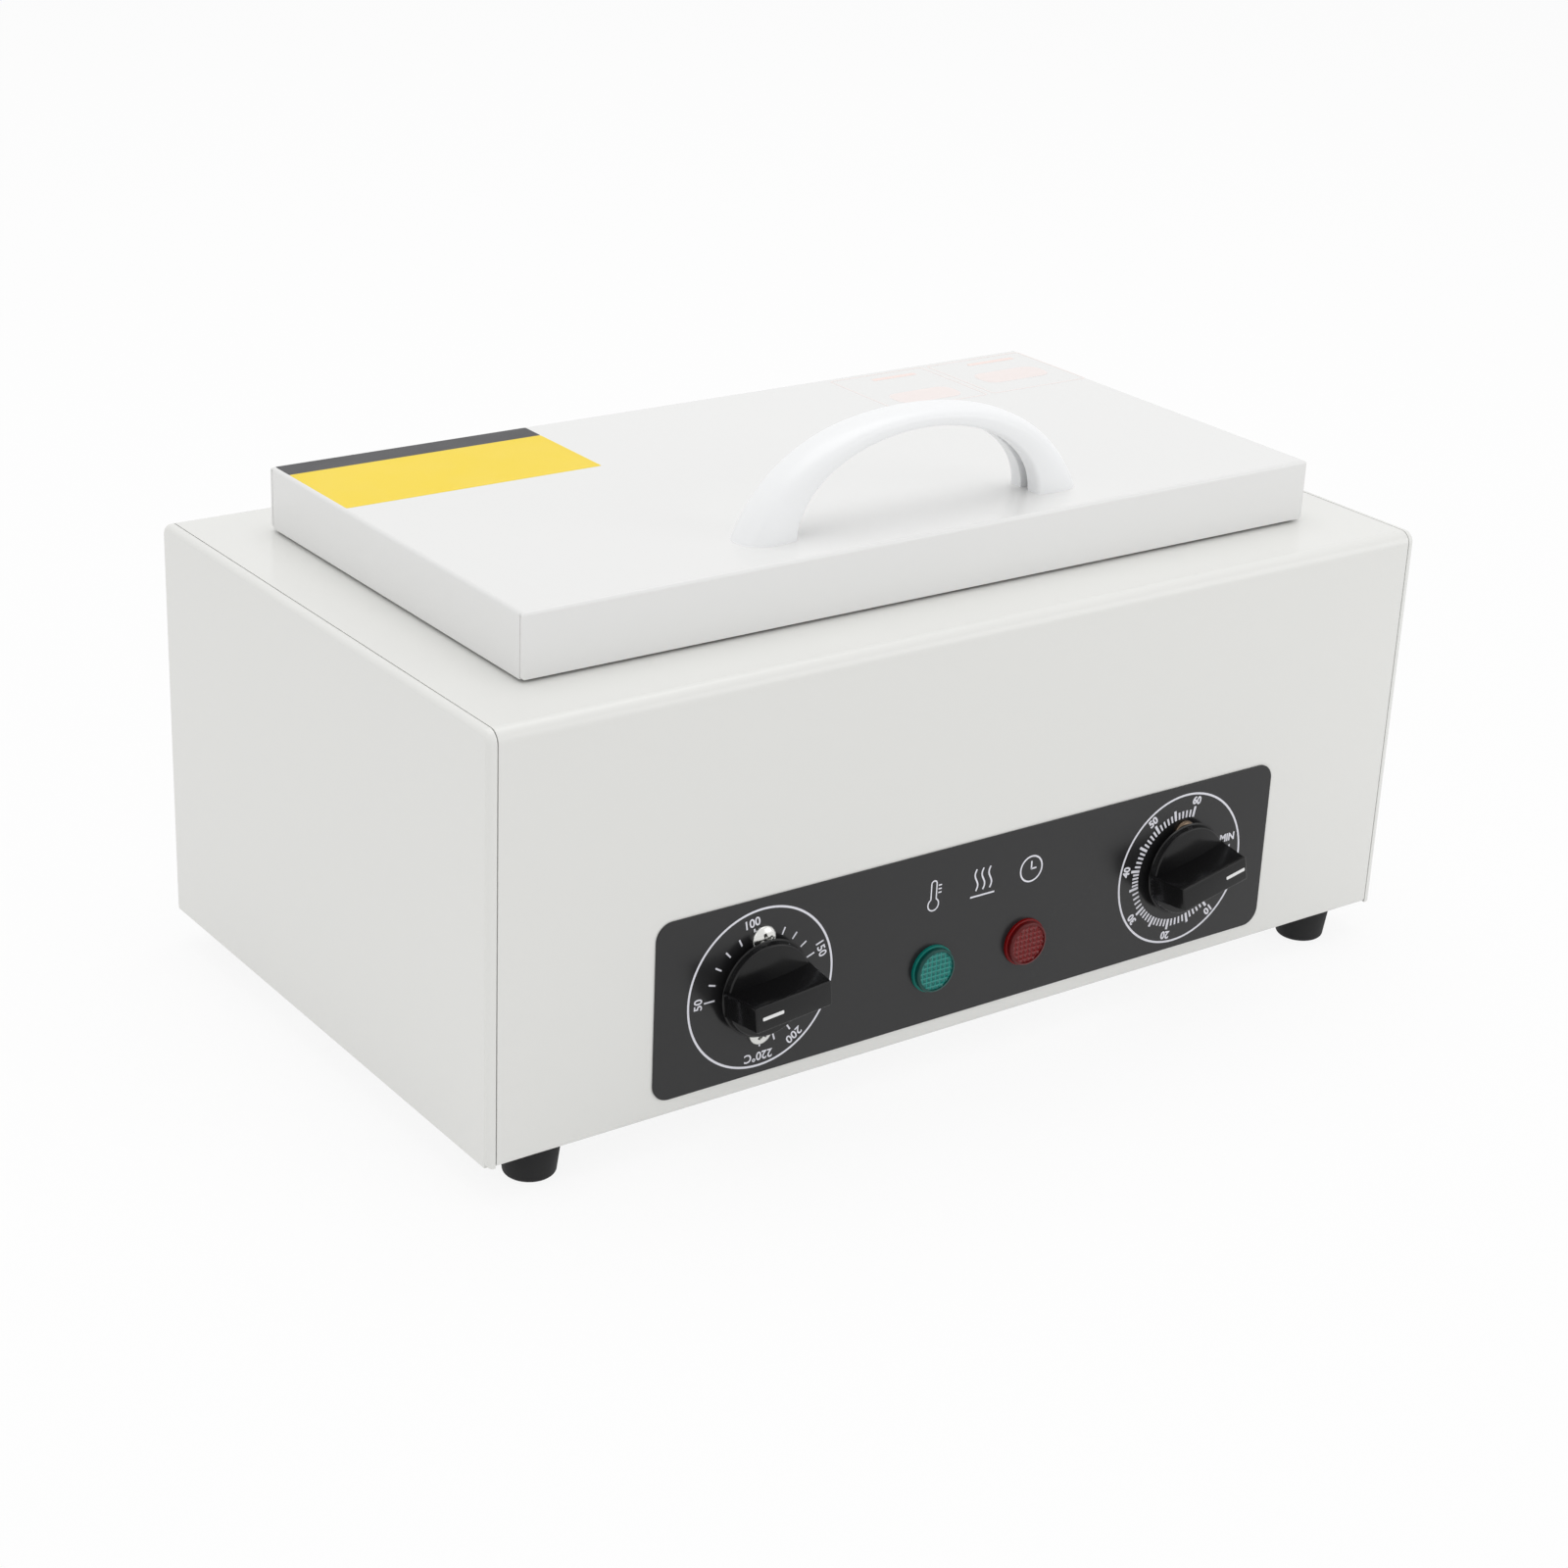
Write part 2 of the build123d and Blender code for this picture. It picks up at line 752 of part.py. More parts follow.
def insulation_jacket():
    """The wool band round the chamber, with a pocket for the thermostat's bulb."""
    high = top_z - sheet - seat_gap
    grow = chamber_sheet + seam_gap
    outside = rounded_slab(chamber_width + 2 * (grow + jacket_thickness),
                           chamber_depth + 2 * (grow + jacket_thickness),
                           chamber_corner + grow + jacket_thickness, tub_under_z, high, lid_centre_y)
    inside = rounded_slab(chamber_width + 2 * grow, chamber_depth + 2 * grow,
                          chamber_corner + grow, tub_under_z - sheet, high + sheet, lid_centre_y)
    room = bulb_radius + seam_gap
    pocket = block(-dial_x - room, -dial_x + bulb_length + 2 * room, bulb_y - room,
                   bulb_y + 2 * bulb_radius, tub_under_z - sheet, bulb_z + room)
    return outside - inside - pocket


# ================================================================ lid
def lid_corner_cuts():
    """At each corner: the seam where the end skirt meets the long skirt, its notch and the clipped foot."""
    cuts = []
    for side in (-1, 1):
        x = side * lid_width / 2
        for edge_y, inward in ((lid_front_y, 1), (lid_back_y, -1)):
            seam_y = edge_y + inward * sheet
            cuts.append(block(x - lid_seam_depth, x + lid_seam_depth, seam_y - lid_seam_width / 2,
                              seam_y + lid_seam_width / 2, lid_base_z - sheet, lid_top_z - lid_fold))
            cuts.append(Pos(x, seam_y, lid_top_z - lid_fold) * Sphere(lid_corner_notch))
            clip = Box(lid_corner_clip, 2 * sheet, lid_corner_clip)
            cuts.append(Pos(x, edge_y, lid_base_z) * Rot(0, 45, 0) * clip)
    return joined(cuts)


def lid_shell():
    """The white folded lid, open below."""
    x = lid_width / 2
    shell = block(-x, x, lid_front_y, lid_back_y, lid_base_z, lid_top_z)
    shell = fillet(shell.faces().sort_by(Axis.Z)[-1].edges(), lid_fold)
    shell -= lid_corner_cuts()
    shell -= block(-x + sheet, x - sheet, lid_front_y + sheet, lid_back_y - sheet,
                   lid_base_z - sheet, lid_top_z - sheet)
    for hole_x in handle_screw_places():
        shell -= post(screw_m4 + hole_gap, hole_x, handle_y, lid_base_z, lid_top_z + sheet)
    for hinge_x in hinge_centres():
        for hole_x in leaf_screw_places(hinge_x):
            shell -= bar(screw_m3 + hole_gap, hole_x, hinge_z + leaf_screw_out,
                         lid_back_y - 2 * sheet, lid_back_y + sheet)
    return shell


def lid_inner_pan():
    """The bright pan that closes the lid from below and dips into the chamber."""
    rim_low = lid_base_z + pan_rim_rise
    rim_high = rim_low + pan_sheet
    half_x = lid_width / 2 - sheet - seat_gap
    half_y = lid_depth / 2 - sheet - seat_gap
    rim = block(-half_x, half_x, lid_centre_y - half_y, lid_centre_y + half_y,
                rim_low, rim_high + pan_lip)
    inner_x = half_x - pan_sheet
    inner_y = half_y - pan_sheet
    rim -= block(-inner_x, inner_x, lid_centre_y - inner_y, lid_centre_y + inner_y,
                 rim_high, rim_high + 2 * pan_lip)
    plug_low = top_z - plug_depth
    width = chamber_width - 2 * plug_gap
    depth = chamber_depth - 2 * plug_gap
    corner = chamber_corner - plug_gap
    plug = rounded_slab(width, depth, corner, plug_low, rim_high, lid_centre_y)
    hollow = rounded_slab(width - 2 * pan_sheet, depth - 2 * pan_sheet, corner - pan_sheet,
                          plug_low + pan_sheet, rim_high + pan_sheet, lid_centre_y)
    pan = rim + plug - hollow
    for hinge_x in hinge_centres():
        for hole_x in leaf_screw_places(hinge_x):
            pan -= bar(nut_m3_width, hole_x, hinge_z + leaf_screw_out,
                       lid_back_y - 2 * sheet - 2 * pan_sheet, lid_back_y)
    return pan


def lid_insulation():
    """The wool slab inside the lid, cut away round the screws and nuts."""
    low = lid_base_z + pan_rim_rise + pan_sheet + seat_gap
    high = lid_top_z - sheet - seat_gap
    margin = sheet + pan_sheet + seam_gap
    back_room = sheet + nut_m3_height + thread_past_nut + 2 * seam_gap
    x = lid_width / 2 - margin
    slab = block(-x, x, lid_front_y + margin, lid_back_y - back_room, low, high)
    inset = plug_gap + pan_sheet + seat_gap
    slab += rounded_slab(chamber_width - 2 * inset, chamber_depth - 2 * inset, chamber_corner - inset,
                         top_z - plug_depth + pan_sheet + seat_gap, high, lid_centre_y)
    for hole_x in handle_screw_places():
        slab -= post(pan_head_width / 2 + seam_gap, hole_x, handle_y,
                     high - pan_head_height - 2 * seam_gap, lid_top_z)
    return slab


def lid_seal():
    """The silicone ring under the lid pan, a hair above the chamber flange."""
    high = lid_base_z + pan_rim_rise
    low = high - seal_thickness
    inner_width = chamber_width + 2 * seat_gap
    inner_depth = chamber_depth + 2 * seat_gap
    ring = rounded_slab(inner_width + 2 * seal_width, inner_depth + 2 * seal_width,
                        chamber_corner + seal_width, low, high, lid_centre_y)
    return ring - rounded_slab(inner_width, inner_depth, chamber_corner,
                               low - sheet, high + sheet, lid_centre_y)


# ================================================================ lid handle
def handle_screw_places():
    """X of the two handle screws."""
    half = handle_hole_spacing / 2
    return [handle_offset_x - half, handle_offset_x + half]


def handle_plan(length, width, waist):
    """The handle seen from above: a bar with round ends and a slight waist."""
    end = length / 2 - handle_end_round
    far = length / 2
    half = width / 2
    outline = [ThreePointArc((-end, half), (0, waist / 2), (end, half)),
               ThreePointArc((end, half), (far, 0), (end, -half)),
               ThreePointArc((end, -half), (0, -waist / 2), (-end, -half)),
               ThreePointArc((-end, -half), (-far, 0), (-end, half))]
    return make_face(outline)


def arch(inset):
    """The solid under the handle's outer curve, an ellipse about a centre below the lid."""
    rise = handle_height + handle_sink
    span = (handle_length / 2) / math.sqrt(1 - (handle_sink / rise) ** 2)
    curve = Pos(0, -handle_sink) * Ellipse(span - inset, rise - inset)
    above = Pos(0, handle_height) * Rectangle(2 * handle_length, 2 * handle_height)
    return extrude(Plane.XZ * (curve & above), amount=handle_width, both=True)


def lid_handle():
    """The moulded bow handle, slotted along its finger side, with a screw boss in each foot."""
    solid = arch(0) & extrude(handle_plan(handle_length, handle_width, handle_waist),
                              amount=handle_height)
    crown = [edge for face in solid.faces().filter_by(GeomType.EXTRUSION) for edge in face.edges()
             if abs(edge.center().Y) > handle_crown / 2]
    solid = fillet(crown, handle_crown)
    finger = extrude(Plane.XZ * Ellipse(finger_span / 2, finger_height), amount=handle_width, both=True)
    channel = arch(handle_wall) & block(handle_wall - handle_length / 2, handle_length / 2 - handle_wall,
                                        -handle_slot / 2, handle_slot / 2, 0, handle_height)
    bosses = joined(post(handle_boss_radius, x, 0, 0, handle_height)
                    for x in (-handle_hole_spacing / 2, handle_hole_spacing / 2))
    bow = solid - channel + (bosses & solid) - finger
    for x in (-handle_hole_spacing / 2, handle_hole_spacing / 2):
        bow -= post(screw_m4 + fit_gap, x, 0, -handle_wall, handle_screw_bite + seam_gap)
    return Pos(handle_offset_x, handle_y, lid_top_z) * bow


def handle_screws():
    """The screws that hold the handle from inside the lid."""
    screw = Rot(180, 0, 0) * pan_screw(screw_m4, sheet + handle_screw_bite)
    return group(Pos(x, handle_y, lid_top_z - sheet) * screw for x in handle_screw_places())


# ================================================================ lid hinges
def knuckle_spans(hinge_x, moving):
    """The X ranges of one leaf's knuckles; the body's leaf has the first and the last."""
    pitch = hinge_width / knuckle_count
    spans = []
    for number in range(knuckle_count):
        if (number % 2 == 1) == moving:
            start = hinge_x - hinge_width / 2 + number * pitch
            spans.append((start + seat_gap, start + pitch - seat_gap))
    return spans


def with_knuckles(leaf, hinge_x, moving):
    """A flat leaf with its own knuckles added and the room for the other leaf's cut out."""
    for x0, x1 in knuckle_spans(hinge_x, not moving):
        gap = running_gap - seat_gap
        room = Box(x1 - x0 + 2 * gap, 2 * knuckle_offset, 2 * knuckle_offset)
        leaf -= Pos((x0 + x1) / 2, hinge_y, hinge_z) * room
    for x0, x1 in knuckle_spans(hinge_x, moving):
        leaf += axle(knuckle_radius, hinge_y, hinge_z, x0, x1)
    return leaf - axle(hinge_pin_radius + fit_gap, hinge_y, hinge_z, -side_x, side_x)


def countersink(thickness):
    """The cut of a flush screw through a plate, with its face on z = 0."""
    above = seam_gap
    head = turned([(0, above), (leaf_head_radius, above), (leaf_head_radius, 0),
                   (screw_m3, -leaf_head_height), (0, -leaf_head_height)])
    return head + post(screw_m3 + fit_gap, 0, 0, -2 * thickness, 0)


def body_hinge_leaves():
    """The leaves screwed to the cabinet top behind the lid."""
    leaves = []
    for hinge_x in hinge_centres():
        half = hinge_width / 2 - seat_gap
        leaf = block(hinge_x - half, hinge_x + half, hinge_y, hinge_y + leaf_length,
                     top_z, top_z + hinge_leaf)
        leaf = fillet(leaf.edges().filter_by(Axis.Z).group_by(Axis.Y)[-1], leaf_corner)
        leaf = with_knuckles(leaf, hinge_x, False)
        for x in leaf_screw_places(hinge_x):
            leaf -= Pos(x, hinge_y + leaf_screw_out, top_z + hinge_leaf) * countersink(hinge_leaf)
        leaves.append(leaf)
    return group(leaves)


def lid_hinge_leaves():
    """The leaves screwed to the lid's back skirt."""
    leaves = []
    for hinge_x in hinge_centres():
        half = hinge_width / 2 - seat_gap
        leaf = block(hinge_x - half, hinge_x + half, lid_back_y, lid_back_y + hinge_leaf,
                     hinge_z, hinge_z + leaf_length)
        leaf = fillet(leaf.edges().filter_by(Axis.Y).group_by(Axis.Z)[-1], leaf_corner)
        leaf = with_knuckles(leaf, hinge_x, True)
        for x in leaf_screw_places(hinge_x):
            place = Pos(x, lid_back_y + hinge_leaf, hinge_z + leaf_screw_out) * Rot(-90, 0, 0)
            leaf -= place * countersink(hinge_leaf)
        leaves.append(leaf)
    return group(leaves)


def hinge_pins():
    """The pins through the knuckles."""
    half = hinge_width / 2
    return group(axle(hinge_pin_radius, hinge_y, hinge_z, x - half, x + half) for x in hinge_centres())


def flush_screw(plate):
    """A countersunk cross screw along Z through a plate, with its face on z = 0."""
    grip = plate + sheet + nut_m3_height + thread_past_nut
    rim = leaf_head_radius - fit_gap
    head = turned([(0, 0), (rim, 0), (screw_m3 - fit_gap, -leaf_head_height), (0, -leaf_head_height)])
    head += post(screw_m3, 0, 0, -grip, -leaf_head_height / 2)
    slot = Box(flush_cross_length, flush_cross_width, leaf_head_height)
    return head - (slot + Rot(0, 0, 90) * slot)


def body_hinge_screws():
    """The flush screws of the cabinet's leaves."""
    places = [x for hinge_x in hinge_centres() for x in leaf_screw_places(hinge_x)]
    return [Pos(x, hinge_y + leaf_screw_out, top_z + hinge_leaf) * flush_screw(hinge_leaf)
            for x in places]


def body_hinge_nuts():
    """The nuts of the cabinet's leaves, under the top sheet."""
    places = [x for hinge_x in hinge_centres() for x in leaf_screw_places(hinge_x)]
    piece = nut(nut_m3_width, nut_m3_height, screw_m3 + fit_gap)
    return [Pos(x, hinge_y + leaf_screw_out, top_z - sheet - nut_m3_height) * piece
            for x in places]


def lid_hinge_screws():
    """The flush screws of the lid's leaves."""
    places = [x for hinge_x in hinge_centres() for x in leaf_screw_places(hinge_x)]
    return [Pos(x, lid_back_y + hinge_leaf, hinge_z + leaf_screw_out) * Rot(-90, 0, 0)
            * flush_screw(hinge_leaf) for x in places]


def lid_hinge_nuts():
    """The nuts of the lid's leaves, inside its skirt."""
    places = [x for hinge_x in hinge_centres() for x in leaf_screw_places(hinge_x)]
    piece = Rot(90, 0, 0) * nut(nut_m3_width, nut_m3_height, screw_m3 + fit_gap)
    return [Pos(x, lid_back_y - sheet, hinge_z + leaf_screw_out) * piece for x in places]


# ================================================================ instrument tray
def tray_blank(inset, low, high):
    """The tray's form drawn in by inset between two heights."""
    return rounded_slab(tray_length - 2 * inset, tray_width - 2 * inset, tray_corner - inset,
                        low, high, lid_centre_y)


def tray_holes():
    """The rows of round holes in the tray floor."""
    holes = []
    for column in range(tray_hole_columns):
        x = (column - (tray_hole_columns - 1) / 2) * tray_hole_pitch_x
        for row in range(tray_hole_rows):
            y = lid_centre_y + (row - (tray_hole_rows - 1) / 2) * tray_hole_pitch_y
            holes.append(post(tray_hole_radius, x, y, tray_floor_z - sheet, tray_floor_z + 2 * sheet))
    return holes


def instrument_tray():
    """The perforated stainless tray with a hemmed rim, four pressed feet and handle ears."""
    tray = tray_blank(0, tray_floor_z, tray_rim_z)
    tray += tray_blank(-tray_rim / 2, tray_rim_z - tray_rim, tray_rim_z)
    tray -= tray_blank(tray_sheet, tray_floor_z + tray_sheet, tray_rim_z + tray_sheet)
    tray = tray - tray_holes()
    bump_x = tray_length / 2 - 3 * tray_corner
    bump_y = tray_width / 2 - 2 * tray_corner
    for x in (-bump_x, bump_x):
        for y in (-bump_y, bump_y):
            tray += post(tray_bump_radius, x, lid_centre_y + y, tub_floor_z, tray_floor_z)
    for side in (-1, 1):
        wall_x = side * (tray_length / 2 - tray_sheet / 2)
        for y in (-1, 1):
            ear_y = lid_centre_y + y * (bail_width / 2 + bail_radius + ear_thickness / 2 + running_gap)
            ear = block(wall_x, side * bail_x, ear_y - ear_thickness / 2, ear_y + ear_thickness / 2,
                        bail_z - ear_radius, bail_z + ear_radius)
            ear += bar(ear_radius, side * bail_x, bail_z,
                       ear_y - ear_thickness / 2, ear_y + ear_thickness / 2)
            tray += ear
        tray -= bar(bail_radius + 2 * fit_gap, side * bail_x, bail_z,
                    lid_centre_y - bail_width, lid_centre_y + bail_width)
    return tray


def tray_bail(side):
    """A wire handle hanging inside an end of the tray; side is -1 for the left and 1 for the right."""
    half = bail_width / 2
    tip = half + bail_radius + ear_thickness + 2 * running_gap + bail_radius
    low = bail_z - bail_reach
    points = [(-tip, bail_z), (-half, bail_z), (-half, low), (half, low), (half, bail_z), (tip, bail_z)]
    path = [(side * bail_x, lid_centre_y + y, z) for y, z in points]
    bends = [bail_end_bend, bail_bend, bail_bend, bail_end_bend]
    return pipe(path, bail_radius, bends)


# ================================================================ control panel and its pieces
def control_panel():
    """The thin dark overlay on the front."""
    plate = extrude(RectangleRounded(panel_width, panel_height, panel_corner), amount=panel_thickness)
    return on_front(0, panel_z) * plate - front_holes(panel_face_y - sheet, front_y + sheet)


def shaft_form(growth, low, high):
    """A dial shaft with a flat on its knob end, grown by growth, between two heights on its axis."""
    form = post(shaft_radius + growth, 0, 0, low, high)
    wide = 2 * shaft_radius
    return form - block(-wide, wide, shaft_flat + growth, wide, knob_hub_back, high + sheet)


def knob(x, angle):
    """A dial knob with its pointer end at the angle: a domed skirt and a tall grip bar across it."""
    dome_reach = knob_edge_reach + knob_dome
    skirt = turned([(0, knob_back), (knob_rim_radius, knob_back),
                    (knob_rim_radius, knob_back + knob_rim_width),
                    (knob_edge_radius, knob_edge_reach), (knob_edge_radius / 2, dome_reach),
                    (0, dome_reach)])
    shoulder = skirt.edges().filter_by_position(Axis.Z, knob_edge_reach - fit_gap,
                                                knob_edge_reach + fit_gap)
    skirt = fillet(shoulder, knob_edge_round)
    grip = loft([Pos(0, 0, knob_back) * Rectangle(grip_length, grip_width),
                 Pos(0, 0, knob_reach) * Rectangle(grip_face_length, grip_face_width)])
    grip = fillet(grip.faces().sort_by(Axis.Z)[-1].edges(), grip_edge)
    hub = post(knob_hub_radius, 0, 0, knob_hub_back, knob_edge_reach)
    body = skirt + grip + hub - shaft_form(fit_gap, 0, shaft_tip)
    return on_front(x, dial_z) * Rot(0, 0, angle) * body


def shaft(x, angle):
    """The steel shaft that carries a knob."""
    low = bracket_back - shaft_seat
    return on_front(x, dial_z) * Rot(0, 0, angle) * shaft_form(0, low, shaft_tip - seat_gap)


def control_screws(x, spacing):
    """The two pan-head screws above and below one dial."""
    screw = pan_screw(screw_m4, control_screw_length)
    return group(on_front(x, dial_z) * Pos(0, rise, panel_thickness) * screw
                 for rise in (-spacing / 2, spacing / 2))


def control_body(centre_x, width, height, depth, corner, screw_spacing):
    """The housing behind a dial: bracket, can, shaft bushing and the bores in them."""
    bracket = Pos(0, 0, bracket_back) * extrude(Rectangle(bracket_width, bracket_length),
                                                amount=bracket_sheet)
    can = Pos(0, 0, bracket_back - depth) * extrude(RectangleRounded(width, height, corner),
                                                    amount=depth)
    body = bracket + can + post(bushing_radius, 0, 0, bracket_back, 0)
    body -= post(shaft_radius + fit_gap, 0, 0, bracket_back - shaft_seat - seat_gap, sheet)
    for rise in (-screw_spacing / 2, screw_spacing / 2):
        body -= post(screw_m4 + fit_gap, 0, rise, -control_screw_length, sheet)
    tab = Pos(0, 0, bracket_back - depth - tab_length / 2) * Box(tab_thickness, tab_width, tab_length)
    aside = width / 2 - tab_margin
    rise = height / 2 - tab_margin - tab_width / 2
    body += [Pos(x * aside, y * rise, 0) * tab for x in (-1, 1) for y in (-1, 1)]
    return on_front(centre_x, dial_z) * body


def thermostat_body():
    """The capillary thermostat behind the left dial."""
    return control_body(-dial_x, thermostat_width, thermostat_height, thermostat_depth, bracket_sheet,
                        thermostat_screw_spacing)


def timer_body():
    """The clockwork timer behind the right dial."""
    return control_body(dial_x, timer_width, timer_height, timer_depth, timer_corner,
                        timer_screw_spacing)


def timer_bell():
    """The bell cup on the back of the timer, open towards it."""
    low = bracket_back - timer_depth
    cup = turned([(0, low), (bell_boss_radius, low), (bell_boss_radius, low - bell_depth),
                  (bell_radius - bell_sheet, low - bell_depth), (bell_radius - bell_sheet, low - bell_lift),
                  (bell_radius, low - bell_lift), (bell_radius, low - bell_depth - bell_sheet),
                  (0, low - bell_depth - bell_sheet)])
    return on_front(dial_x, dial_z) * cup


def thermostat_bulb():
    """The thermostat's sensing bulb against the chamber, with its capillary."""
    can_top = dial_z + thermostat_height / 2
    can_middle = front_y - bracket_back + thermostat_depth / 2
    start_x = -dial_x + capillary_bend + running_gap
    turn_z = can_top + capillary_rise
    points = [(-dial_x, can_middle, can_top), (-dial_x, can_middle, turn_z), (-dial_x, bulb_y, turn_z),
              (-dial_x, bulb_y, bulb_z), (start_x + bulb_radius, bulb_y, bulb_z)]
    tube = pipe(points, capillary_radius, capillary_rise / 2)
    return tube + axle(bulb_radius, bulb_y, bulb_z, start_x, start_x + bulb_length)


# ================================================================ signal lamps
def lamp_places():
    """X of the two lamps."""
    return [-lamp_spacing / 2, lamp_spacing / 2]


def lamp_lens(x):
    """A lamp's coloured lens with its clear rim."""
    low = panel_thickness
    rim = low + lamp_rim_thickness
    top = low + lamp_reach
    bevel = lamp_rim_thickness / 3
    lens = turned([(0, low), (lamp_rim_radius, low), (lamp_rim_radius, rim - bevel),
                   (lamp_rim_radius - bevel, rim), (lamp_lens_radius, rim),
                   (lamp_lens_radius, top - bevel), (lamp_lens_radius - bevel, top), (0, top)])
    return on_front(x, lamp_z) * lens


def lamp_bodies():
    """The lamp holders, which pass through the front, each with two tabs."""
    bodies = []
    for x in lamp_places():
        body = post(lamp_body_radius, 0, 0, -lamp_body_length, panel_thickness)
        for side in (-1, 1):
            tab = Box(tab_thickness, tab_width / 2, tab_length)
            body += Pos(side * lamp_body_radius / 2, 0, -lamp_body_length - tab_length / 2) * tab
        bodies.append(on_front(x, lamp_z) * body)
    return group(bodies)


def lamp_clips():
    """The spring washers that hold the lamps from inside."""
    ring = post(lamp_clip_radius, 0, 0, -sheet - lamp_clip_thickness, -sheet)
    ring -= post(lamp_body_radius + fit_gap, 0, 0, -lamp_body_length, sheet)
    return group(on_front(x, lamp_z) * ring for x in lamp_places())


# ================================================================ mains inlet, fuse and earth
def inlet_screw_places():
    """X of the two inlet screws."""
    half = inlet_screw_spacing / 2
    return [inlet_x - half, inlet_x + half]


def inlet_pin_places():
    """Local place of each inlet pin: line, neutral and the raised earth."""
    half = inlet_pin_spacing / 2
    return [(-half, 0), (half, 0), (0, -earth_pin_rise)]


def power_inlet():
    """The three-pin mains inlet: flange, box and the bevelled socket."""
    flange = extrude(RectangleRounded(inlet_flange_width, inlet_flange_height, inlet_corner),
                     amount=inlet_flange_thickness)
    body = flange + block(-inlet_body_width / 2, inlet_body_width / 2, -inlet_body_height / 2,
                          inlet_body_height / 2, -inlet_body_depth, 0)
    mouth = Rectangle(socket_width, socket_height)
    mouth = chamfer(mouth.vertices().group_by(Axis.Y)[0], socket_chamfer)
    floor = inlet_flange_thickness - socket_depth
    body -= Pos(0, 0, floor) * extrude(mouth, amount=2 * socket_depth)
    for x, y in inlet_pin_places():
        body -= Pos(x, y, -inlet_body_depth) * Box(inlet_pin_width + 2 * fit_gap,
                                                   inlet_pin_height + 2 * fit_gap, inlet_body_depth)
    for x in inlet_screw_places():
        body -= Pos(x - inlet_x, 0, inlet_flange_thickness) * countersink(inlet_flange_thickness)
    return on_back(inlet_x, inlet_z) * body


def inlet_pins():
    """The inlet's three pins, each with its tab behind."""
    floor = inlet_flange_thickness - socket_depth
    length = inlet_pin_length + floor + inlet_body_depth + inlet_tab_length
    tip = floor + inlet_pin_length
    pin = Box(inlet_pin_width, inlet_pin_height, length)
    return group(on_back(inlet_x, inlet_z) * Pos(x, y, tip - length / 2) * pin
                 for x, y in inlet_pin_places())


def inlet_screws():
    """The flush screws of the inlet."""
    screw = flush_screw(inlet_flange_thickness)
    return [on_back(x, inlet_z) * Pos(0, 0, inlet_flange_thickness) * screw
            for x in inlet_screw_places()]


def inlet_nuts():
    """The nuts of the inlet, inside the back."""
    piece = nut(nut_m3_width, nut_m3_height, screw_m3 + fit_gap)
    return [on_back(x, inlet_z) * Pos(0, 0, -sheet - nut_m3_height) * piece
            for x in inlet_screw_places()]


def fuse_holder():
    """The panel fuse holder: flange, barrel and tube, open at the back of the cabinet."""
    nut_end = -sheet - fuse_nut_height - thread_past_nut
    body = post(fuse_flange_radius, 0, 0, 0, fuse_flange_thickness)
    body += post(fuse_barrel_radius, 0, 0, nut_end, 0)
    body += post(fuse_body_radius, 0, 0, -fuse_body_length, nut_end)
    body += Pos(0, 0, -fuse_body_length - tab_length / 2) * Box(tab_thickness, tab_width, tab_length)
    bore = fuse_stem_radius + fuse_slide_gap
    body -= post(bore, 0, 0, -fuse_body_length + sheet, 2 * fuse_flange_thickness)
    return on_back(fuse_x, inlet_z) * body


def fuse_nut():
    """The nut that holds the fuse holder."""
    piece = nut(fuse_nut_width, fuse_nut_height, fuse_barrel_radius + fit_gap)
    return on_back(fuse_x, inlet_z) * Pos(0, 0, -sheet - fuse_nut_height) * piece


def fuse_cap():
    """The round cap with a screwdriver slot and the stem that grips the fuse."""
    low = fuse_flange_thickness + running_gap
    cap = post(fuse_cap_radius, 0, 0, low, fuse_reach)
    cap = fillet(cap.faces().sort_by(Axis.Z)[-1].edges(), fuse_cap_round)
    cap -= Pos(0, 0, fuse_reach) * Box(2 * fuse_cap_radius, fuse_cap_slot, 2 * fuse_cap_slot)
    cap += post(fuse_stem_radius, 0, 0, -fuse_stem_length, low)
    cap -= post(fuse_radius + fit_gap, 0, 0, -fuse_stem_length, -fuse_stem_length + fuse_bite)
    return on_back(fuse_x, inlet_z) * cap


def glass_fuse():
    """The fuse held by the cap's stem."""
    top = -fuse_stem_length + fuse_bite
    return on_back(fuse_x, inlet_z) * post(fuse_radius, 0, 0, top - fuse_length, top)


def earth_screw():
    """The earth screw through the back."""
    grip = sheet + nut_m4_height + thread_past_nut
    return on_back(earth_screw_x, earth_screw_z) * pan_screw(screw_m4, grip)


def earth_nut():
    """The nut on the earth screw."""
    piece = nut(nut_m4_width, nut_m4_height, screw_m4 + fit_gap)
    return on_back(earth_screw_x, earth_screw_z) * Pos(0, 0, -sheet - nut_m4_height) * piece


# ================================================================ terminal block and base screws
def block_screw_places():
    """X of the two screws that hold the terminal block."""
    return [block_x - block_screw_spacing / 2, block_x + block_screw_spacing / 2]


def terminal_block():
    """The ceramic block that joins the heater and mains leads, with a wire bore for each way."""
    width = block_ways * block_pitch
    body = block(block_x - width / 2, block_x + width / 2, block_y - block_depth / 2,
                 block_y + block_depth / 2, base_top_z, base_top_z + block_height)
    for way in range(block_ways):
        x = block_x + (way - (block_ways - 1) / 2) * block_pitch
        body -= bar(block_hole_radius, x, base_top_z + block_bore_height, block_y - block_depth,
                    block_y + block_depth)
        for y in (block_y - block_depth / 4, block_y + block_depth / 4):
            body -= post(screw_m3 + fit_gap, x, y, base_top_z + block_bore_height,
                         base_top_z + 2 * block_height)
    for x in block_screw_places():
        body -= post(screw_m3 + fit_gap, x, block_y, base_top_z - sheet, base_top_z + base_screw_bite)
    return body


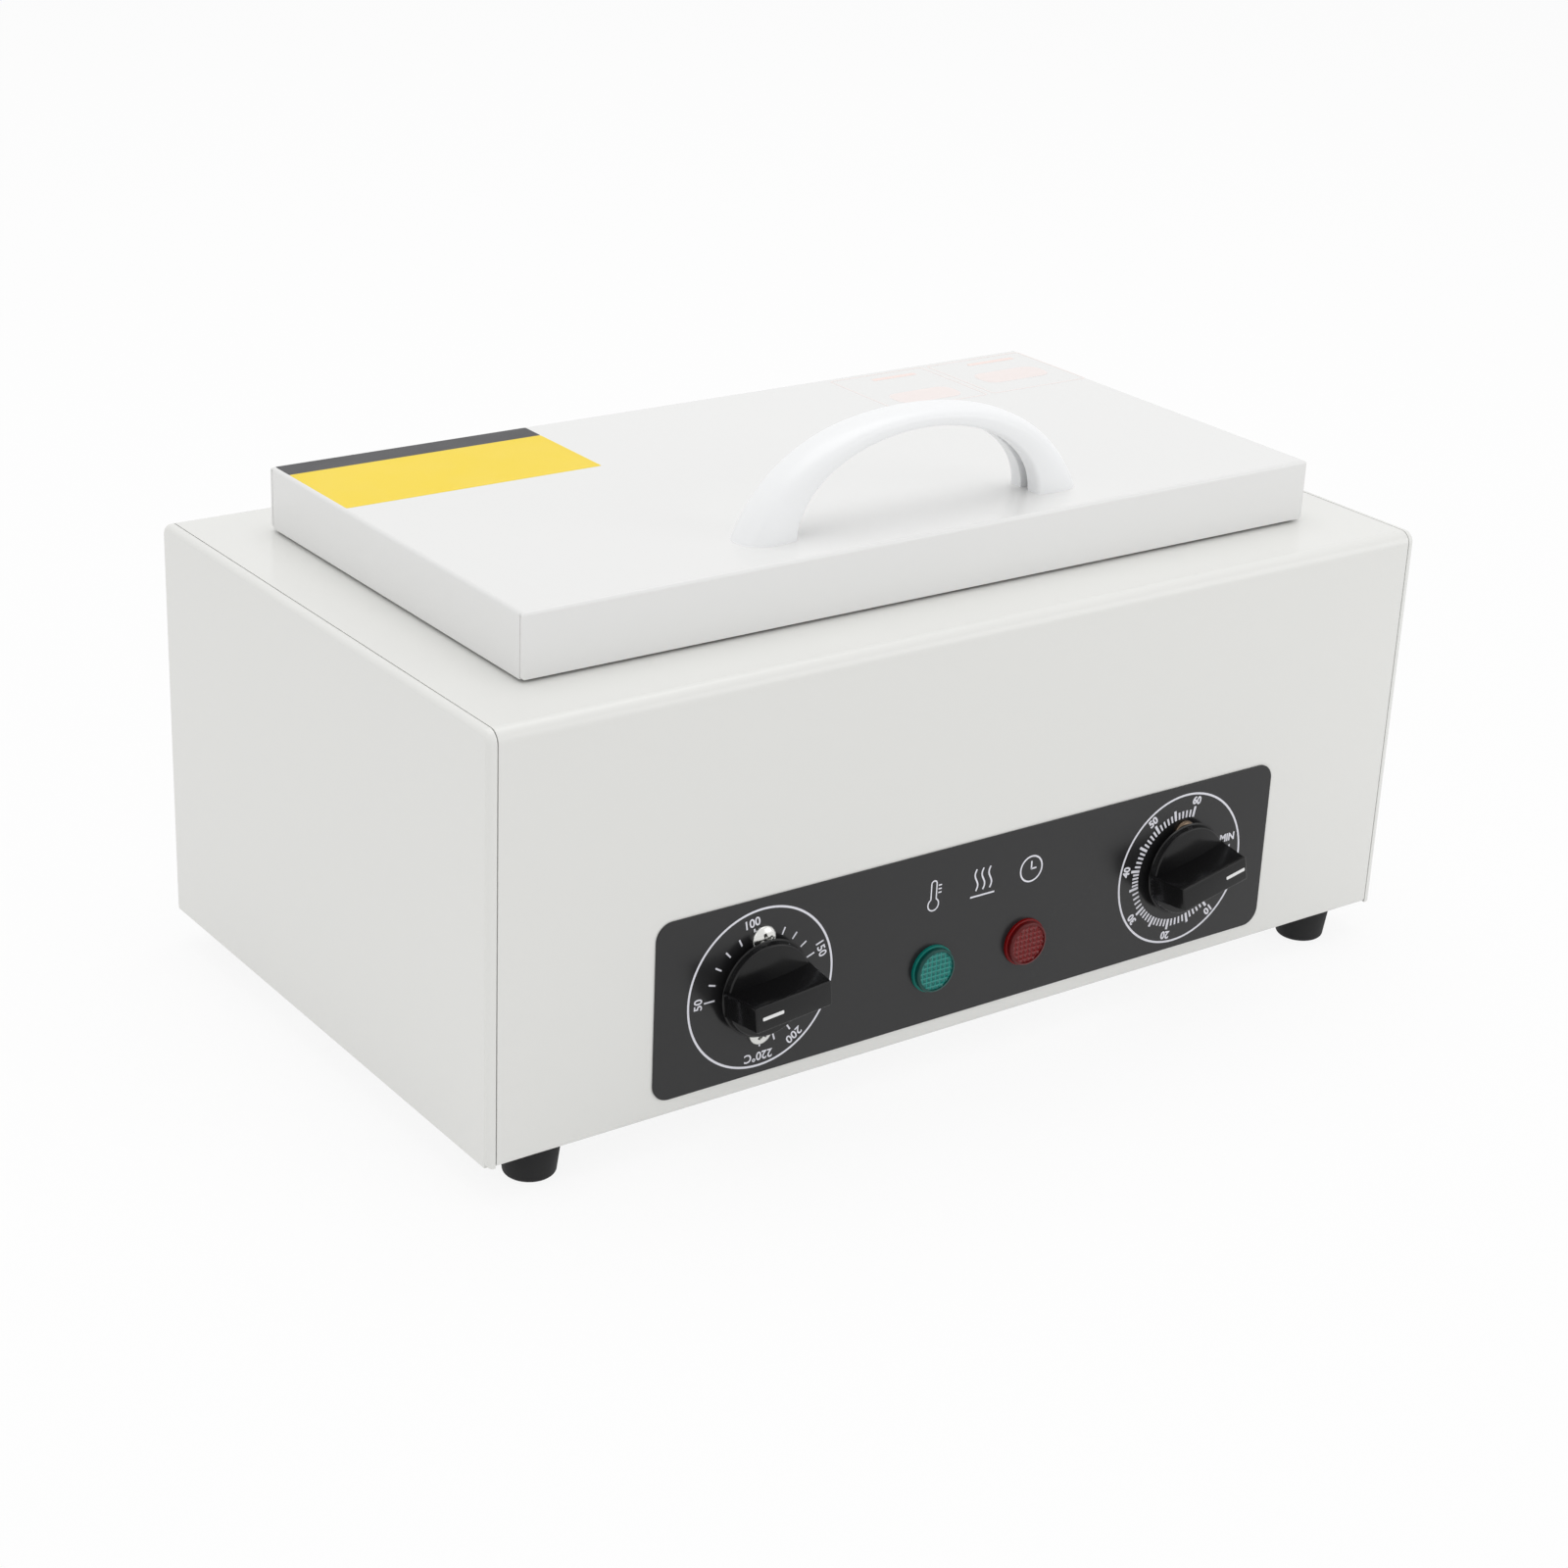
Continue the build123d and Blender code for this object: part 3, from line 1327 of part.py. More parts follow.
def terminal_screws():
    """The clamp screws of the terminal block."""
    screws = []
    for way in range(block_ways):
        x = block_x + (way - (block_ways - 1) / 2) * block_pitch
        for y in (block_y - block_depth / 4, block_y + block_depth / 4):
            low = base_top_z + block_bore_height + block_hole_radius
            screws.append(post(screw_m3, x, y, low, base_top_z + block_height - sheet))
    return screws


def block_screws():
    """The screws that hold the terminal block from below."""
    screw = Rot(180, 0, 0) * pan_screw(screw_m3, base_sheet + base_screw_bite - seat_gap)
    return [Pos(x, block_y, floor_z + sheet) * screw for x in block_screw_places()]


def base_screw_places():
    """The screws that join the cover's returns to the base plate."""
    near = front_y + base_screw_inset
    far = back_y - base_screw_inset
    outer = side_x - base_screw_margin
    return [(x, y) for x in (-outer, 0, outer) for y in (near, far)]


def base_screws():
    """The screws that hold the base plate to the cover."""
    screw = Rot(180, 0, 0) * pan_screw(screw_m3, sheet + base_sheet + base_screw_bite)
    return group(Pos(x, y, floor_z) * screw for x, y in base_screw_places())


# ================================================================ the nodes
def all_nodes():
    """Every node's name with the function that builds it."""
    nodes = {
        "wrap_cover": wrap_cover,
        "left_side_panel": lambda: side_panel(-1),
        "right_side_panel": lambda: side_panel(1),
        "base_plate": base_plate,
        "base_screws": base_screws,
        "foot_screws": foot_screws,
        "foot_nuts": foot_nuts,
        "chamber_tub": chamber_tub,
        "heating_element": heating_element,
        "heater_beads": heater_beads,
        "heater_straps": heater_straps,
        "reflector_plate": reflector_plate,
        "insulation_pad": insulation_pad,
        "heat_shield": heat_shield,
        "shield_nuts": shield_nuts,
        "thermal_cutout": thermal_cutout,
        "insulation_jacket": insulation_jacket,
        "instrument_tray": instrument_tray,
        "left_tray_bail": lambda: tray_bail(-1),
        "right_tray_bail": lambda: tray_bail(1),
        "lid_shell": lid_shell,
        "lid_inner_pan": lid_inner_pan,
        "lid_insulation": lid_insulation,
        "lid_seal": lid_seal,
        "lid_handle": lid_handle,
        "handle_screws": handle_screws,
        "body_hinge_leaves": body_hinge_leaves,
        "lid_hinge_leaves": lid_hinge_leaves,
        "hinge_pins": hinge_pins,
        "body_hinge_fasteners": lambda: group(body_hinge_screws() + body_hinge_nuts()),
        "lid_hinge_fasteners": lambda: group(lid_hinge_screws() + lid_hinge_nuts()),
        "control_panel": control_panel,
        "temperature_knob": lambda: knob(-dial_x, temperature_rest),
        "temperature_shaft": lambda: shaft(-dial_x, temperature_rest),
        "timer_knob": lambda: knob(dial_x, timer_rest),
        "timer_shaft": lambda: shaft(dial_x, timer_rest),
        "thermostat_body": thermostat_body,
        "thermostat_bulb": thermostat_bulb,
        "thermostat_screws": lambda: control_screws(-dial_x, thermostat_screw_spacing),
        "timer_body": timer_body,
        "timer_bell": timer_bell,
        "timer_screws": lambda: control_screws(dial_x, timer_screw_spacing),
        "green_lamp_lens": lambda: lamp_lens(-lamp_spacing / 2),
        "red_lamp_lens": lambda: lamp_lens(lamp_spacing / 2),
        "lamp_bodies": lamp_bodies,
        "lamp_clips": lamp_clips,
        "power_inlet": power_inlet,
        "inlet_pins": inlet_pins,
        "inlet_fasteners": lambda: group(inlet_screws() + inlet_nuts()),
        "fuse_holder": fuse_holder,
        "fuse_nut": fuse_nut,
        "fuse_cap": fuse_cap,
        "glass_fuse": glass_fuse,
        "earth_fasteners": lambda: group([earth_screw(), earth_nut()]),
        "terminal_block": terminal_block,
        "terminal_screws": lambda: group(terminal_screws() + block_screws()),
    }
    for name, x, y in foot_places():
        nodes[name + "_foot"] = lambda x=x, y=y: foot(x, y)
    return nodes


def main():
    """Build every node and write each to its own file."""
    os.makedirs("parts", exist_ok=True)
    for name, build in all_nodes().items():
        export_step(build(), os.path.join("parts", name + ".step"))


main()
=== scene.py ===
"""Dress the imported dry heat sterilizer: moulded and printed pieces, finishes, studio and camera."""

from __future__ import annotations

import json
import logging
import math
from collections.abc import Callable, Sequence
from dataclasses import dataclass, field
from enum import Enum
from functools import cache
from typing import ClassVar

import bmesh
import bpy
import numpy as np
from mathutils import Matrix, Vector


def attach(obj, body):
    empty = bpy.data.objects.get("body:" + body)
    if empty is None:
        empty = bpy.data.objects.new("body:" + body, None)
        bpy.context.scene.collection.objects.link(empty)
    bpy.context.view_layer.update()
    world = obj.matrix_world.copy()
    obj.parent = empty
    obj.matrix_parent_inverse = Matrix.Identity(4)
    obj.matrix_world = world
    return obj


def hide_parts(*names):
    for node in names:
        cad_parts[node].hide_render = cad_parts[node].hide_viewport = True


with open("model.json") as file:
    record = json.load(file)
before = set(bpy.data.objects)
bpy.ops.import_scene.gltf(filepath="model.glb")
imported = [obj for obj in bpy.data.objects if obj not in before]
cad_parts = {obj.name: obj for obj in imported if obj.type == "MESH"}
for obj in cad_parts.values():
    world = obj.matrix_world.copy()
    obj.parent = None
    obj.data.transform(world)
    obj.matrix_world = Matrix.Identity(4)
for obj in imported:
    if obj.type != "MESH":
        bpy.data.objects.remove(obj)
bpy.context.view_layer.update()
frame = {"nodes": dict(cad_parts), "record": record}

MM = 0.001
TURN = 2 * math.pi
QUARTER = math.pi / 2
POLE = 0.01
LOG = logging.getLogger("scene")

Array = np.ndarray
Pair = tuple[float, float]
Triple = tuple[float, float, float]
Object = bpy.types.Object
Socket = bpy.types.NodeSocket
Outputs = bpy.types.NodeOutputs
Shading = tuple[Socket, Socket, Socket]


class Body(Enum):
    """The moving bodies that pieces ride on."""

    CABINET = "cabinet"
    LID = "lid"
    TEMPERATURE = "temperature_knob"
    TIMER = "timer_knob"


# ------------------------------------------------------------------ numpy surfaces


def circle(angle: Array | float) -> Array:
    """Points of the unit circle at angles in radians: cosine, then sine."""
    return np.stack([np.cos(angle), np.sin(angle)], axis=-1)


def full_circle(around: int) -> Array:
    """Evenly spaced points of the unit circle, from the right and anticlockwise."""
    return circle(np.linspace(0, TURN, around, endpoint=False))


def polar(radius: float, angle_deg: float) -> Array:
    """The point at a radius and an angle, anticlockwise from the right."""
    return radius * circle(math.radians(angle_deg))


def at_height(outline: Array, height: float) -> Array:
    """A flat outline as rows of three numbers, all at one height."""
    return np.column_stack([outline, np.full(len(outline), height)])


def slab(outline: Array, low: float, high: float) -> Array:
    """The two rings of a plate with a given outline, between two heights."""
    return np.stack([at_height(outline, low), at_height(outline, high)])


def rounded_outline(half_x: float, half_y: float, corner: float, arc: int = 4) -> Array:
    """Points round a rectangle with round corners, anticlockwise: a quarter circle in each corner.

    Args:
        half_x: Half its width.
        half_y: Half its height.
        corner: The corner radius.
        arc: Steps in each corner.

    Returns:
        The points as rows of two numbers.
    """
    turn = np.linspace(0, QUARTER, arc + 1)
    corners = []
    for quarter, signs in enumerate(((1, 1), (-1, 1), (-1, -1), (1, -1))):
        centre = np.array(signs) * [half_x - corner, half_y - corner]
        corners.append(centre + corner * circle(turn + quarter * QUARTER))
    return np.vstack(corners)


def link(name: str, data: bpy.types.ID) -> Object:
    """Make an object and put it in the scene.

    Args:
        name: The object's name.
        data: Its mesh, curve, camera or light.

    Returns:
        The object, at the origin.
    """
    obj = bpy.data.objects.new(name, data)
    bpy.context.scene.collection.objects.link(obj)
    return obj


class Surface:
    """Meshes made from grids of points worked out with numpy."""

    weld = 1e-7
    sliver = 1e-8

    @classmethod
    def from_faces(cls, name: str, points: Array, faces: list[list[int]], smooth_deg: float = 35.0) -> Object:
        """Make an object from points in millimetres and faces.

        Args:
            name: The object's name.
            points: Vertices, one row each, in millimetres in the row frame.
            faces: Faces as lists of vertex numbers.
            smooth_deg: Edges sharper than this stay sharp.

        Returns:
            The linked object, its poles welded, shaded smooth with its normals outward.
        """
        mesh = bpy.data.meshes.new(name)
        mesh.from_pydata((points * MM).tolist(), [], faces)
        mesh.validate()
        work = bmesh.new()
        work.from_mesh(mesh)
        bmesh.ops.remove_doubles(work, verts=work.verts, dist=cls.weld)
        bmesh.ops.dissolve_degenerate(work, edges=work.edges, dist=cls.sliver)
        bmesh.ops.recalc_face_normals(work, faces=work.faces)
        work.to_mesh(mesh)
        work.free()
        mesh.shade_smooth()
        mesh.set_sharp_from_angle(angle=math.radians(smooth_deg))
        return link(name, mesh)

    @staticmethod
    def loft(name: str, rings: Array, smooth_deg: float = 35.0) -> Object:
        """Skin closed rings of points in order with four-sided faces and cap both ends.

        Args:
            name: The object's name.
            rings: Points as rings by points by three, in millimetres.
            smooth_deg: Edges sharper than this stay sharp.

        Returns:
            The closed object.
        """
        numbers = np.arange(rings.shape[0] * rings.shape[1]).reshape(rings.shape[:2])
        after = np.roll(numbers, -1, axis=1)
        quads = np.stack([numbers[:-1], after[:-1], after[1:], numbers[1:]], axis=2).reshape(-1, 4)
        faces = [*quads.tolist(), numbers[0].tolist(), numbers[-1].tolist()]
        return Surface.from_faces(name, rings.reshape(-1, 3), faces, smooth_deg)

    @staticmethod
    def lathe(name: str, profile: Sequence[Pair] | Array, around: int = 96, smooth_deg: float = 35.0) -> Object:
        """Turn a profile about Z: each point is its radius times the unit circle, at its height.

        Args:
            name: The object's name.
            profile: Radius and height of each corner of the half section, in millimetres.
            around: Points round the axis.
            smooth_deg: Edges sharper than this stay sharp.

        Returns:
            The closed object, about the Z axis.
        """
        half = np.asarray(profile, float)[:, None, :]
        flat = half[:, :, :1] * full_circle(around)
        heights = np.repeat(half[:, :, 1:], around, axis=1)
        return Surface.loft(name, np.concatenate([flat, heights], axis=2), smooth_deg)

    @staticmethod
    def place(obj: Object, matrix: Matrix) -> Object:
        """Move a mesh's own points, leaving its object at the origin.

        Args:
            obj: The object to move.
            matrix: The move, in millimetres.

        Returns:
            The same object.
        """
        metres = matrix.copy()
        metres.translation = matrix.translation * MM
        obj.data.transform(metres)
        obj.data.update()
        return obj

    @staticmethod
    def join(name: str, parts: Sequence[Object]) -> Object:
        """Join meshes into the first of them, with their materials.

        Args:
            name: The name of the result.
            parts: The objects to join.

        Returns:
            The joined object.
        """
        head = parts[0]
        with bpy.context.temp_override(active_object=head, object=head, selected_objects=list(parts),
                                       selected_editable_objects=list(parts)):
            bpy.ops.object.join()
        head.name = head.data.name = name
        return head


# ------------------------------------------------------------------ places


@dataclass(frozen=True)
class Places:
    """The positions in the row frame, in millimetres, that several pieces share.

    Attributes:
        lid_top_z: The lid's top face.
        panel_face_y: The dial panel's face.
        dial_x: Each dial's distance from the middle.
        dial_z: The middle of the dials' print.
        shaft_z: The middle of the knobs' shafts.
        lamp_x: Each signal lamp's distance from the middle.
        lamp_z: The lamps' height.
        handle_x: The bow handle's middle.
        handle_y: The line of the bow handle's feet.
        foot_x: Each foot's distance from the middle.
        foot_y: The rows of the front and the back feet.
    """

    lid_top_z: float = 146.8
    panel_face_y: float = -87.4
    dial_x: float = 73.15
    dial_z: float = 40.6
    shaft_z: float = 41.5
    lamp_x: float = 16.15
    lamp_z: float = 31.7
    handle_x: float = 0.6
    handle_y: float = -44.3
    foot_x: float = 136.5
    foot_y: Pair = (-76.7, 81.2)

    def on_panel(self, x: float, z: float) -> Matrix:
        """The frame on the panel's face: local X right, local Y up and local Z out to the front."""
        return Matrix.Translation((x, self.panel_face_y, z)) @ Matrix.Rotation(QUARTER, 4, "X")

    def on_lid(self) -> Matrix:
        """The frame on the lid's top: local X right, local Y back and local Z up."""
        return Matrix.Translation((0.0, 0.0, self.lid_top_z))


AT = Places()


# ------------------------------------------------------------------ shader graphs


class Graph:
    """A short way to write a node tree: nodes by type, with inputs as values or sockets."""

    def __init__(self, tree: bpy.types.NodeTree) -> None:
        """Start on a node tree."""
        self.tree = tree

    @classmethod
    def of(cls, owner: bpy.types.Material | bpy.types.World) -> Graph:
        """Start on an emptied node tree.

        Args:
            owner: The material or the world that the tree belongs to.

        Returns:
            The graph.
        """
        owner.use_nodes = True
        owner.node_tree.nodes.clear()
        return cls(owner.node_tree)

    def node(self, kind: str, inputs: dict[str | int, object] | None = None, **settings: object) -> bpy.types.Node:
        """Add one node.

        Args:
            kind: The node's type name.
            inputs: Values or output sockets by input name or number.
            **settings: Properties of the node itself.

        Returns:
            The node.
        """
        made = self.tree.nodes.new(kind)
        for key, value in settings.items():
            setattr(made, key, value)
        for key, value in (inputs or {}).items():
            if isinstance(value, Socket):
                self.tree.links.new(value, made.inputs[key])
            else:
                made.inputs[key].default_value = value
        return made

    def math(self, operation: str, a: object, b: object = 0.0, c: object = 0.0, clamp: bool = False) -> Socket:
        """One arithmetic step on up to three values."""
        made = self.node("ShaderNodeMath", {0: a, 1: b, 2: c}, operation=operation, use_clamp=clamp)
        return made.outputs[0]

    def scale_add(self, value: object, factor: object, rest: object, clamp: bool = False) -> Socket:
        """A value times a factor, plus the rest."""
        return self.math("MULTIPLY_ADD", value, factor, rest, clamp)

    def mix(self, share: object, a: object, b: object) -> Socket:
        """Blend two colours by a share."""
        made = self.node("ShaderNodeMix", {"Factor": share, "A": a, "B": b}, data_type="RGBA")
        return made.outputs["Result"]

    def darkened(self, share: object, colour: object) -> Socket:
        """Blend a colour towards black by a share."""
        return self.mix(share, colour, (0.0, 0.0, 0.0, 1.0))

    def mask(self, value: object, low: float, high: float) -> Socket:
        """Stretch a value so that low gives 0 and high gives 1, clamped."""
        return self.remap(value, low, high, 0.0, 1.0)

    def remap(self, value: object, low: float, high: float, to_low: float, to_high: float) -> Socket:
        """Stretch a value from one range to another, clamped."""
        inputs = {"Value": value, "From Min": low, "From Max": high, "To Min": to_low, "To Max": to_high}
        return self.node("ShaderNodeMapRange", inputs).outputs["Result"]

    def place(self) -> Socket:
        """The object coordinates."""
        return self.node("ShaderNodeTexCoord").outputs["Object"]

    def noise(self, place: Socket, scale: float | Triple, detail: float = 2.0, roughness: float = 0.5) -> Socket:
        """A noise value at a place.

        Args:
            place: The coordinates.
            scale: Features per metre, or one number for each axis.
            detail: How many finer layers it has.
            roughness: How strong the finer layers are.

        Returns:
            The value's socket.
        """
        if isinstance(scale, tuple):
            place = self.node("ShaderNodeMapping", {"Vector": place, "Scale": scale}).outputs["Vector"]
            scale = 1.0
        inputs = {"Vector": place, "Scale": scale, "Detail": detail, "Roughness": roughness}
        return self.node("ShaderNodeTexNoise", inputs).outputs["Fac"]

    def bump(self, strength: object, depth: float, height: Socket) -> Socket:
        """A normal tilted by a height, with the depth in metres."""
        made = self.node("ShaderNodeBump", {"Strength": strength, "Distance": depth, "Height": height})
        return made.outputs["Normal"]


def from_screen(*levels: int) -> Triple:
    """Turn a screen colour of 0 to 255 into linear light, by the standard screen curve."""
    shares = [level / 255 for level in levels]
    return tuple(s / 12.92 if s <= 0.04045 else ((s + 0.055) / 1.055) ** 2.4 for s in shares)


def socket_name(value: str) -> str:
    """The socket name of a finish's field."""
    return value.replace("_", " ").title()


@cache
def effect_group(name: str, write: Callable[[Graph, Outputs], Shading], values: tuple[str, ...]) -> bpy.types.NodeTree:
    """Make a shader node group that puts out a colour, a roughness and a normal.

    Args:
        name: The group's name.
        write: The function that writes its nodes and returns those three.
        values: The fields of a finish that are its inputs.

    Returns:
        The group, the same one for every finish of a kind.
    """
    tree = bpy.data.node_groups.new(name, "ShaderNodeTree")
    for value in values:
        kind = "Color" if value in ("colour", "line") else "Float"
        tree.interface.new_socket(socket_name(value), in_out="INPUT", socket_type=f"NodeSocket{kind}")
    results = {"Color": "Color", "Roughness": "Float", "Normal": "Vector"}
    for result, kind in results.items():
        tree.interface.new_socket(result, in_out="OUTPUT", socket_type=f"NodeSocket{kind}")
    graph = Graph(tree)
    made = write(graph, graph.node("NodeGroupInput").outputs)
    graph.node("NodeGroupOutput", dict(zip(results, made)))
    return tree


def write_grain(graph: Graph, given: Outputs) -> Shading:
    """Nodes of a painted or moulded skin: fine grain, slow mottling and a rubbed roughness.

    Args:
        graph: The group's graph.
        given: The group's inputs.

    Returns:
        The colour, the roughness and the normal.
    """
    place = graph.place()
    fine = graph.noise(place, scale=2600.0)
    peel = graph.noise(place, scale=620.0, detail=1.0)
    slow = graph.noise(place, scale=14.0, detail=3.0)
    handled = graph.noise(place, scale=55.0, detail=4.0, roughness=0.65)
    dark = graph.darkened(given["Mottle"], given["Colour"])
    colour = graph.mix(graph.mask(slow, 0.3, 0.7), given["Colour"], dark)
    rubbed = graph.mask(handled, 0.35, 0.75)
    roughness = graph.scale_add(rubbed, given["Rubbing"], given["Roughness"], clamp=True)
    height = graph.scale_add(peel, given["Peel"], fine)
    return colour, roughness, graph.bump(given["Grain"], 0.05 * MM, height)


def write_brushed(graph: Graph, given: Outputs) -> Shading:
    """Nodes of rolled or brushed metal: long fine streaks, cloudy tone and small scuffs.

    Args:
        graph: The group's graph.
        given: The group's inputs.

    Returns:
        The colour, the roughness and the normal.
    """
    place = graph.place()
    streak = graph.noise(place, scale=(30.0, 1400.0, 1400.0), detail=3.0, roughness=0.7)
    fine = graph.noise(place, scale=(160.0, 5200.0, 5200.0))
    cloud = graph.noise(place, scale=22.0, detail=3.0)
    scuff = graph.mask(graph.noise(place, scale=(420.0, 90.0, 90.0), detail=4.0), 0.62, 0.72)
    tone = graph.scale_add(streak, 0.5, graph.math("MULTIPLY", cloud, 0.5))
    dark = graph.darkened(given["Contrast"], given["Colour"])
    colour = graph.mix(graph.mask(tone, 0.3, 0.7), dark, given["Colour"])
    spread = graph.scale_add(streak, 0.16, given["Roughness"])
    roughness = graph.scale_add(scuff, 0.12, spread, clamp=True)
    height = graph.scale_add(fine, 0.5, streak)
    return colour, roughness, graph.bump(given["Grain"], 0.03 * MM, height)


def write_fibre(graph: Graph, given: Outputs) -> Shading:
    """Nodes of a loose or porous surface: tangled strands, and painted shade that darkens the colour in the bump's
    hollows.

    Args:
        graph: The group's graph.
        given: The group's inputs.

    Returns:
        The colour, the roughness and the normal.
    """
    place = graph.place()
    tangle = graph.noise(place, scale=(260.0, 700.0, 700.0), detail=5.0, roughness=0.7)
    lump = graph.noise(place, scale=90.0, detail=4.0)
    # Painted shade: the colour darkens where the tangled bump is low, in its hollows.
    hollow_shade_mask = graph.mask(graph.math("MULTIPLY", tangle, lump), 0.12, 0.35)
    dark = graph.darkened(given["Contrast"], given["Colour"])
    colour = graph.mix(hollow_shade_mask, dark, given["Colour"])
    roughness = graph.scale_add(lump, 0.1, given["Roughness"], clamp=True)
    return colour, roughness, graph.bump(given["Grain"], 0.6 * MM, tangle)


def write_squares(graph: Graph, given: Outputs) -> Shading:
    """Nodes of a lamp's square pattern: a painted highlight lightens the grooves between facets, seen from the front.

    Args:
        graph: The group's graph.
        given: The group's inputs.

    Returns:
        The colour, the roughness and the normal.
    """
    place = graph.node("ShaderNodeSeparateXYZ", {0: graph.place()}).outputs
    from_cell = []
    for axis, centre in (("X", "Centre X"), ("Z", "Centre Z")):
        cells = graph.math("DIVIDE", graph.math("SUBTRACT", place[axis], given[centre]), given["Pitch"])
        half = graph.math("SUBTRACT", graph.math("FRACT", cells), 0.5)
        from_cell.append(graph.math("ABSOLUTE", half))
    groove = graph.mask(graph.math("MAXIMUM", *from_cell), 0.30, 0.47)
    # Painted highlight: the grooves take the lighter line colour.
    colour = graph.mix(groove, given["Colour"], given["Line"])
    roughness = graph.scale_add(groove, 0.1, given["Roughness"])
    return colour, roughness, graph.bump(0.2, 0.05 * MM, groove)


@dataclass(frozen=True)
class Skin:
    """A painted, moulded or printed finish: one effect group under a Principled shader.

    Attributes:
        effect: The effect group's name, its writer and the fields that it reads.
        name: The material's name.
        colour: The base colour in linear light.
        roughness: The least roughness.
        metallic: 1 for bare metal.
        mottle: How far the slow mottling darkens.
        rubbing: How much rougher the handled patches are.
        grain: The strength of the fine bump.
        peel: How strong the coarser waviness is beside the grain.
        specular: The specular level.
        coat: The weight of a clear coat.
        transmission: How much light passes through.
        ior: How strongly it bends light.
    """

    effect: ClassVar[tuple] = ("grain_skin", write_grain,
                               ("colour", "roughness", "mottle", "rubbing", "grain", "peel"))
    name: str
    colour: Triple
    roughness: float = 0.4
    metallic: float = 0.0
    mottle: float = 0.02
    rubbing: float = 0.08
    grain: float = 0.12
    peel: float = 0.6
    specular: float = 0.5
    coat: float = 0.0
    transmission: float = 0.0
    ior: float = 1.5

    def shading(self, graph: Graph) -> Outputs:
        """Place the effect group with this finish's own values.

        Args:
            graph: The material's graph.

        Returns:
            The group's outputs.
        """
        fields = {one: getattr(self, one) for one in self.effect[2]}
        inputs = {socket_name(one): (*value, 1.0) if isinstance(value, tuple) else value
                  for one, value in fields.items()}
        return graph.node("ShaderNodeGroup", inputs, node_tree=effect_group(*self.effect)).outputs

    def build(self) -> bpy.types.Material:
        """Make the material once.

        Returns:
            The material, the same one each time.
        """
        material = bpy.data.materials.get(self.name)
        if material is None:
            material = bpy.data.materials.new(self.name)
            graph = Graph.of(material)
            shading = self.shading(graph)
            shader = graph.node("ShaderNodeBsdfPrincipled", {
                "Base Color": shading["Color"], "Roughness": shading["Roughness"], "Normal": shading["Normal"],
                "Metallic": self.metallic, "Specular IOR Level": self.specular, "Coat Weight": self.coat,
                "Coat Roughness": 0.1, "Transmission Weight": self.transmission, "IOR": self.ior})
            graph.node("ShaderNodeOutputMaterial", {"Surface": shader.outputs["BSDF"]})
        return material


@dataclass(frozen=True)
class Metal(Skin):
    """Rolled, plated or brushed metal.

    Attributes:
        contrast: How dark the darker streaks are.
    """

    effect: ClassVar[tuple] = ("brushed_metal", write_brushed, ("colour", "roughness", "contrast", "grain"))
    metallic: float = 1.0
    roughness: float = 0.28
    contrast: float = 0.25


@dataclass(frozen=True)
class Fibre(Skin):
    """Wool, ceramic and other open surfaces.

    Attributes:
        contrast: How dark the painted shade in the hollows is.
    """

    effect: ClassVar[tuple] = ("fibre_skin", write_fibre, ("colour", "roughness", "contrast", "grain"))
    roughness: float = 0.85
    contrast: float = 0.4


@dataclass(frozen=True)
class Lens(Skin):
    """The moulded square pattern of a lamp, with a painted highlight that makes its grooves lighter than its facets.

    Attributes:
        line: The painted highlight colour of the grooves.
        pitch: The side of a square, in metres.
        centre_x: Where the pattern is centred, in metres.
        centre_z: The height it is centred at, in metres.
    """

    effect: ClassVar[tuple] = ("lens_squares", write_squares,
                               ("colour", "line", "roughness", "pitch", "centre_x", "centre_z"))
    roughness: float = 0.12
    specular: float = 0.22
    coat: float = 0.08
    line: Triple = (1.0, 1.0, 1.0)
    pitch: float = 1.5 * MM
    centre_x: float = 0.0
    centre_z: float = AT.lamp_z * MM


def paint(name: str, *levels: int, **values: float) -> Skin:
    """A skin finish given by its screen colour."""
    return Skin(name, from_screen(*levels), **values)


def clear_rim(name: str, *levels: int, roughness: float, specular: float) -> Skin:
    """The plain smooth tint of a lamp's ring or rim; a ring's tint is a lighter, lit copy of the lens tint, painted
    light passing through the plastic.
    """
    return paint(name, *levels, roughness=roughness, specular=specular, grain=0.0, mottle=0.0)


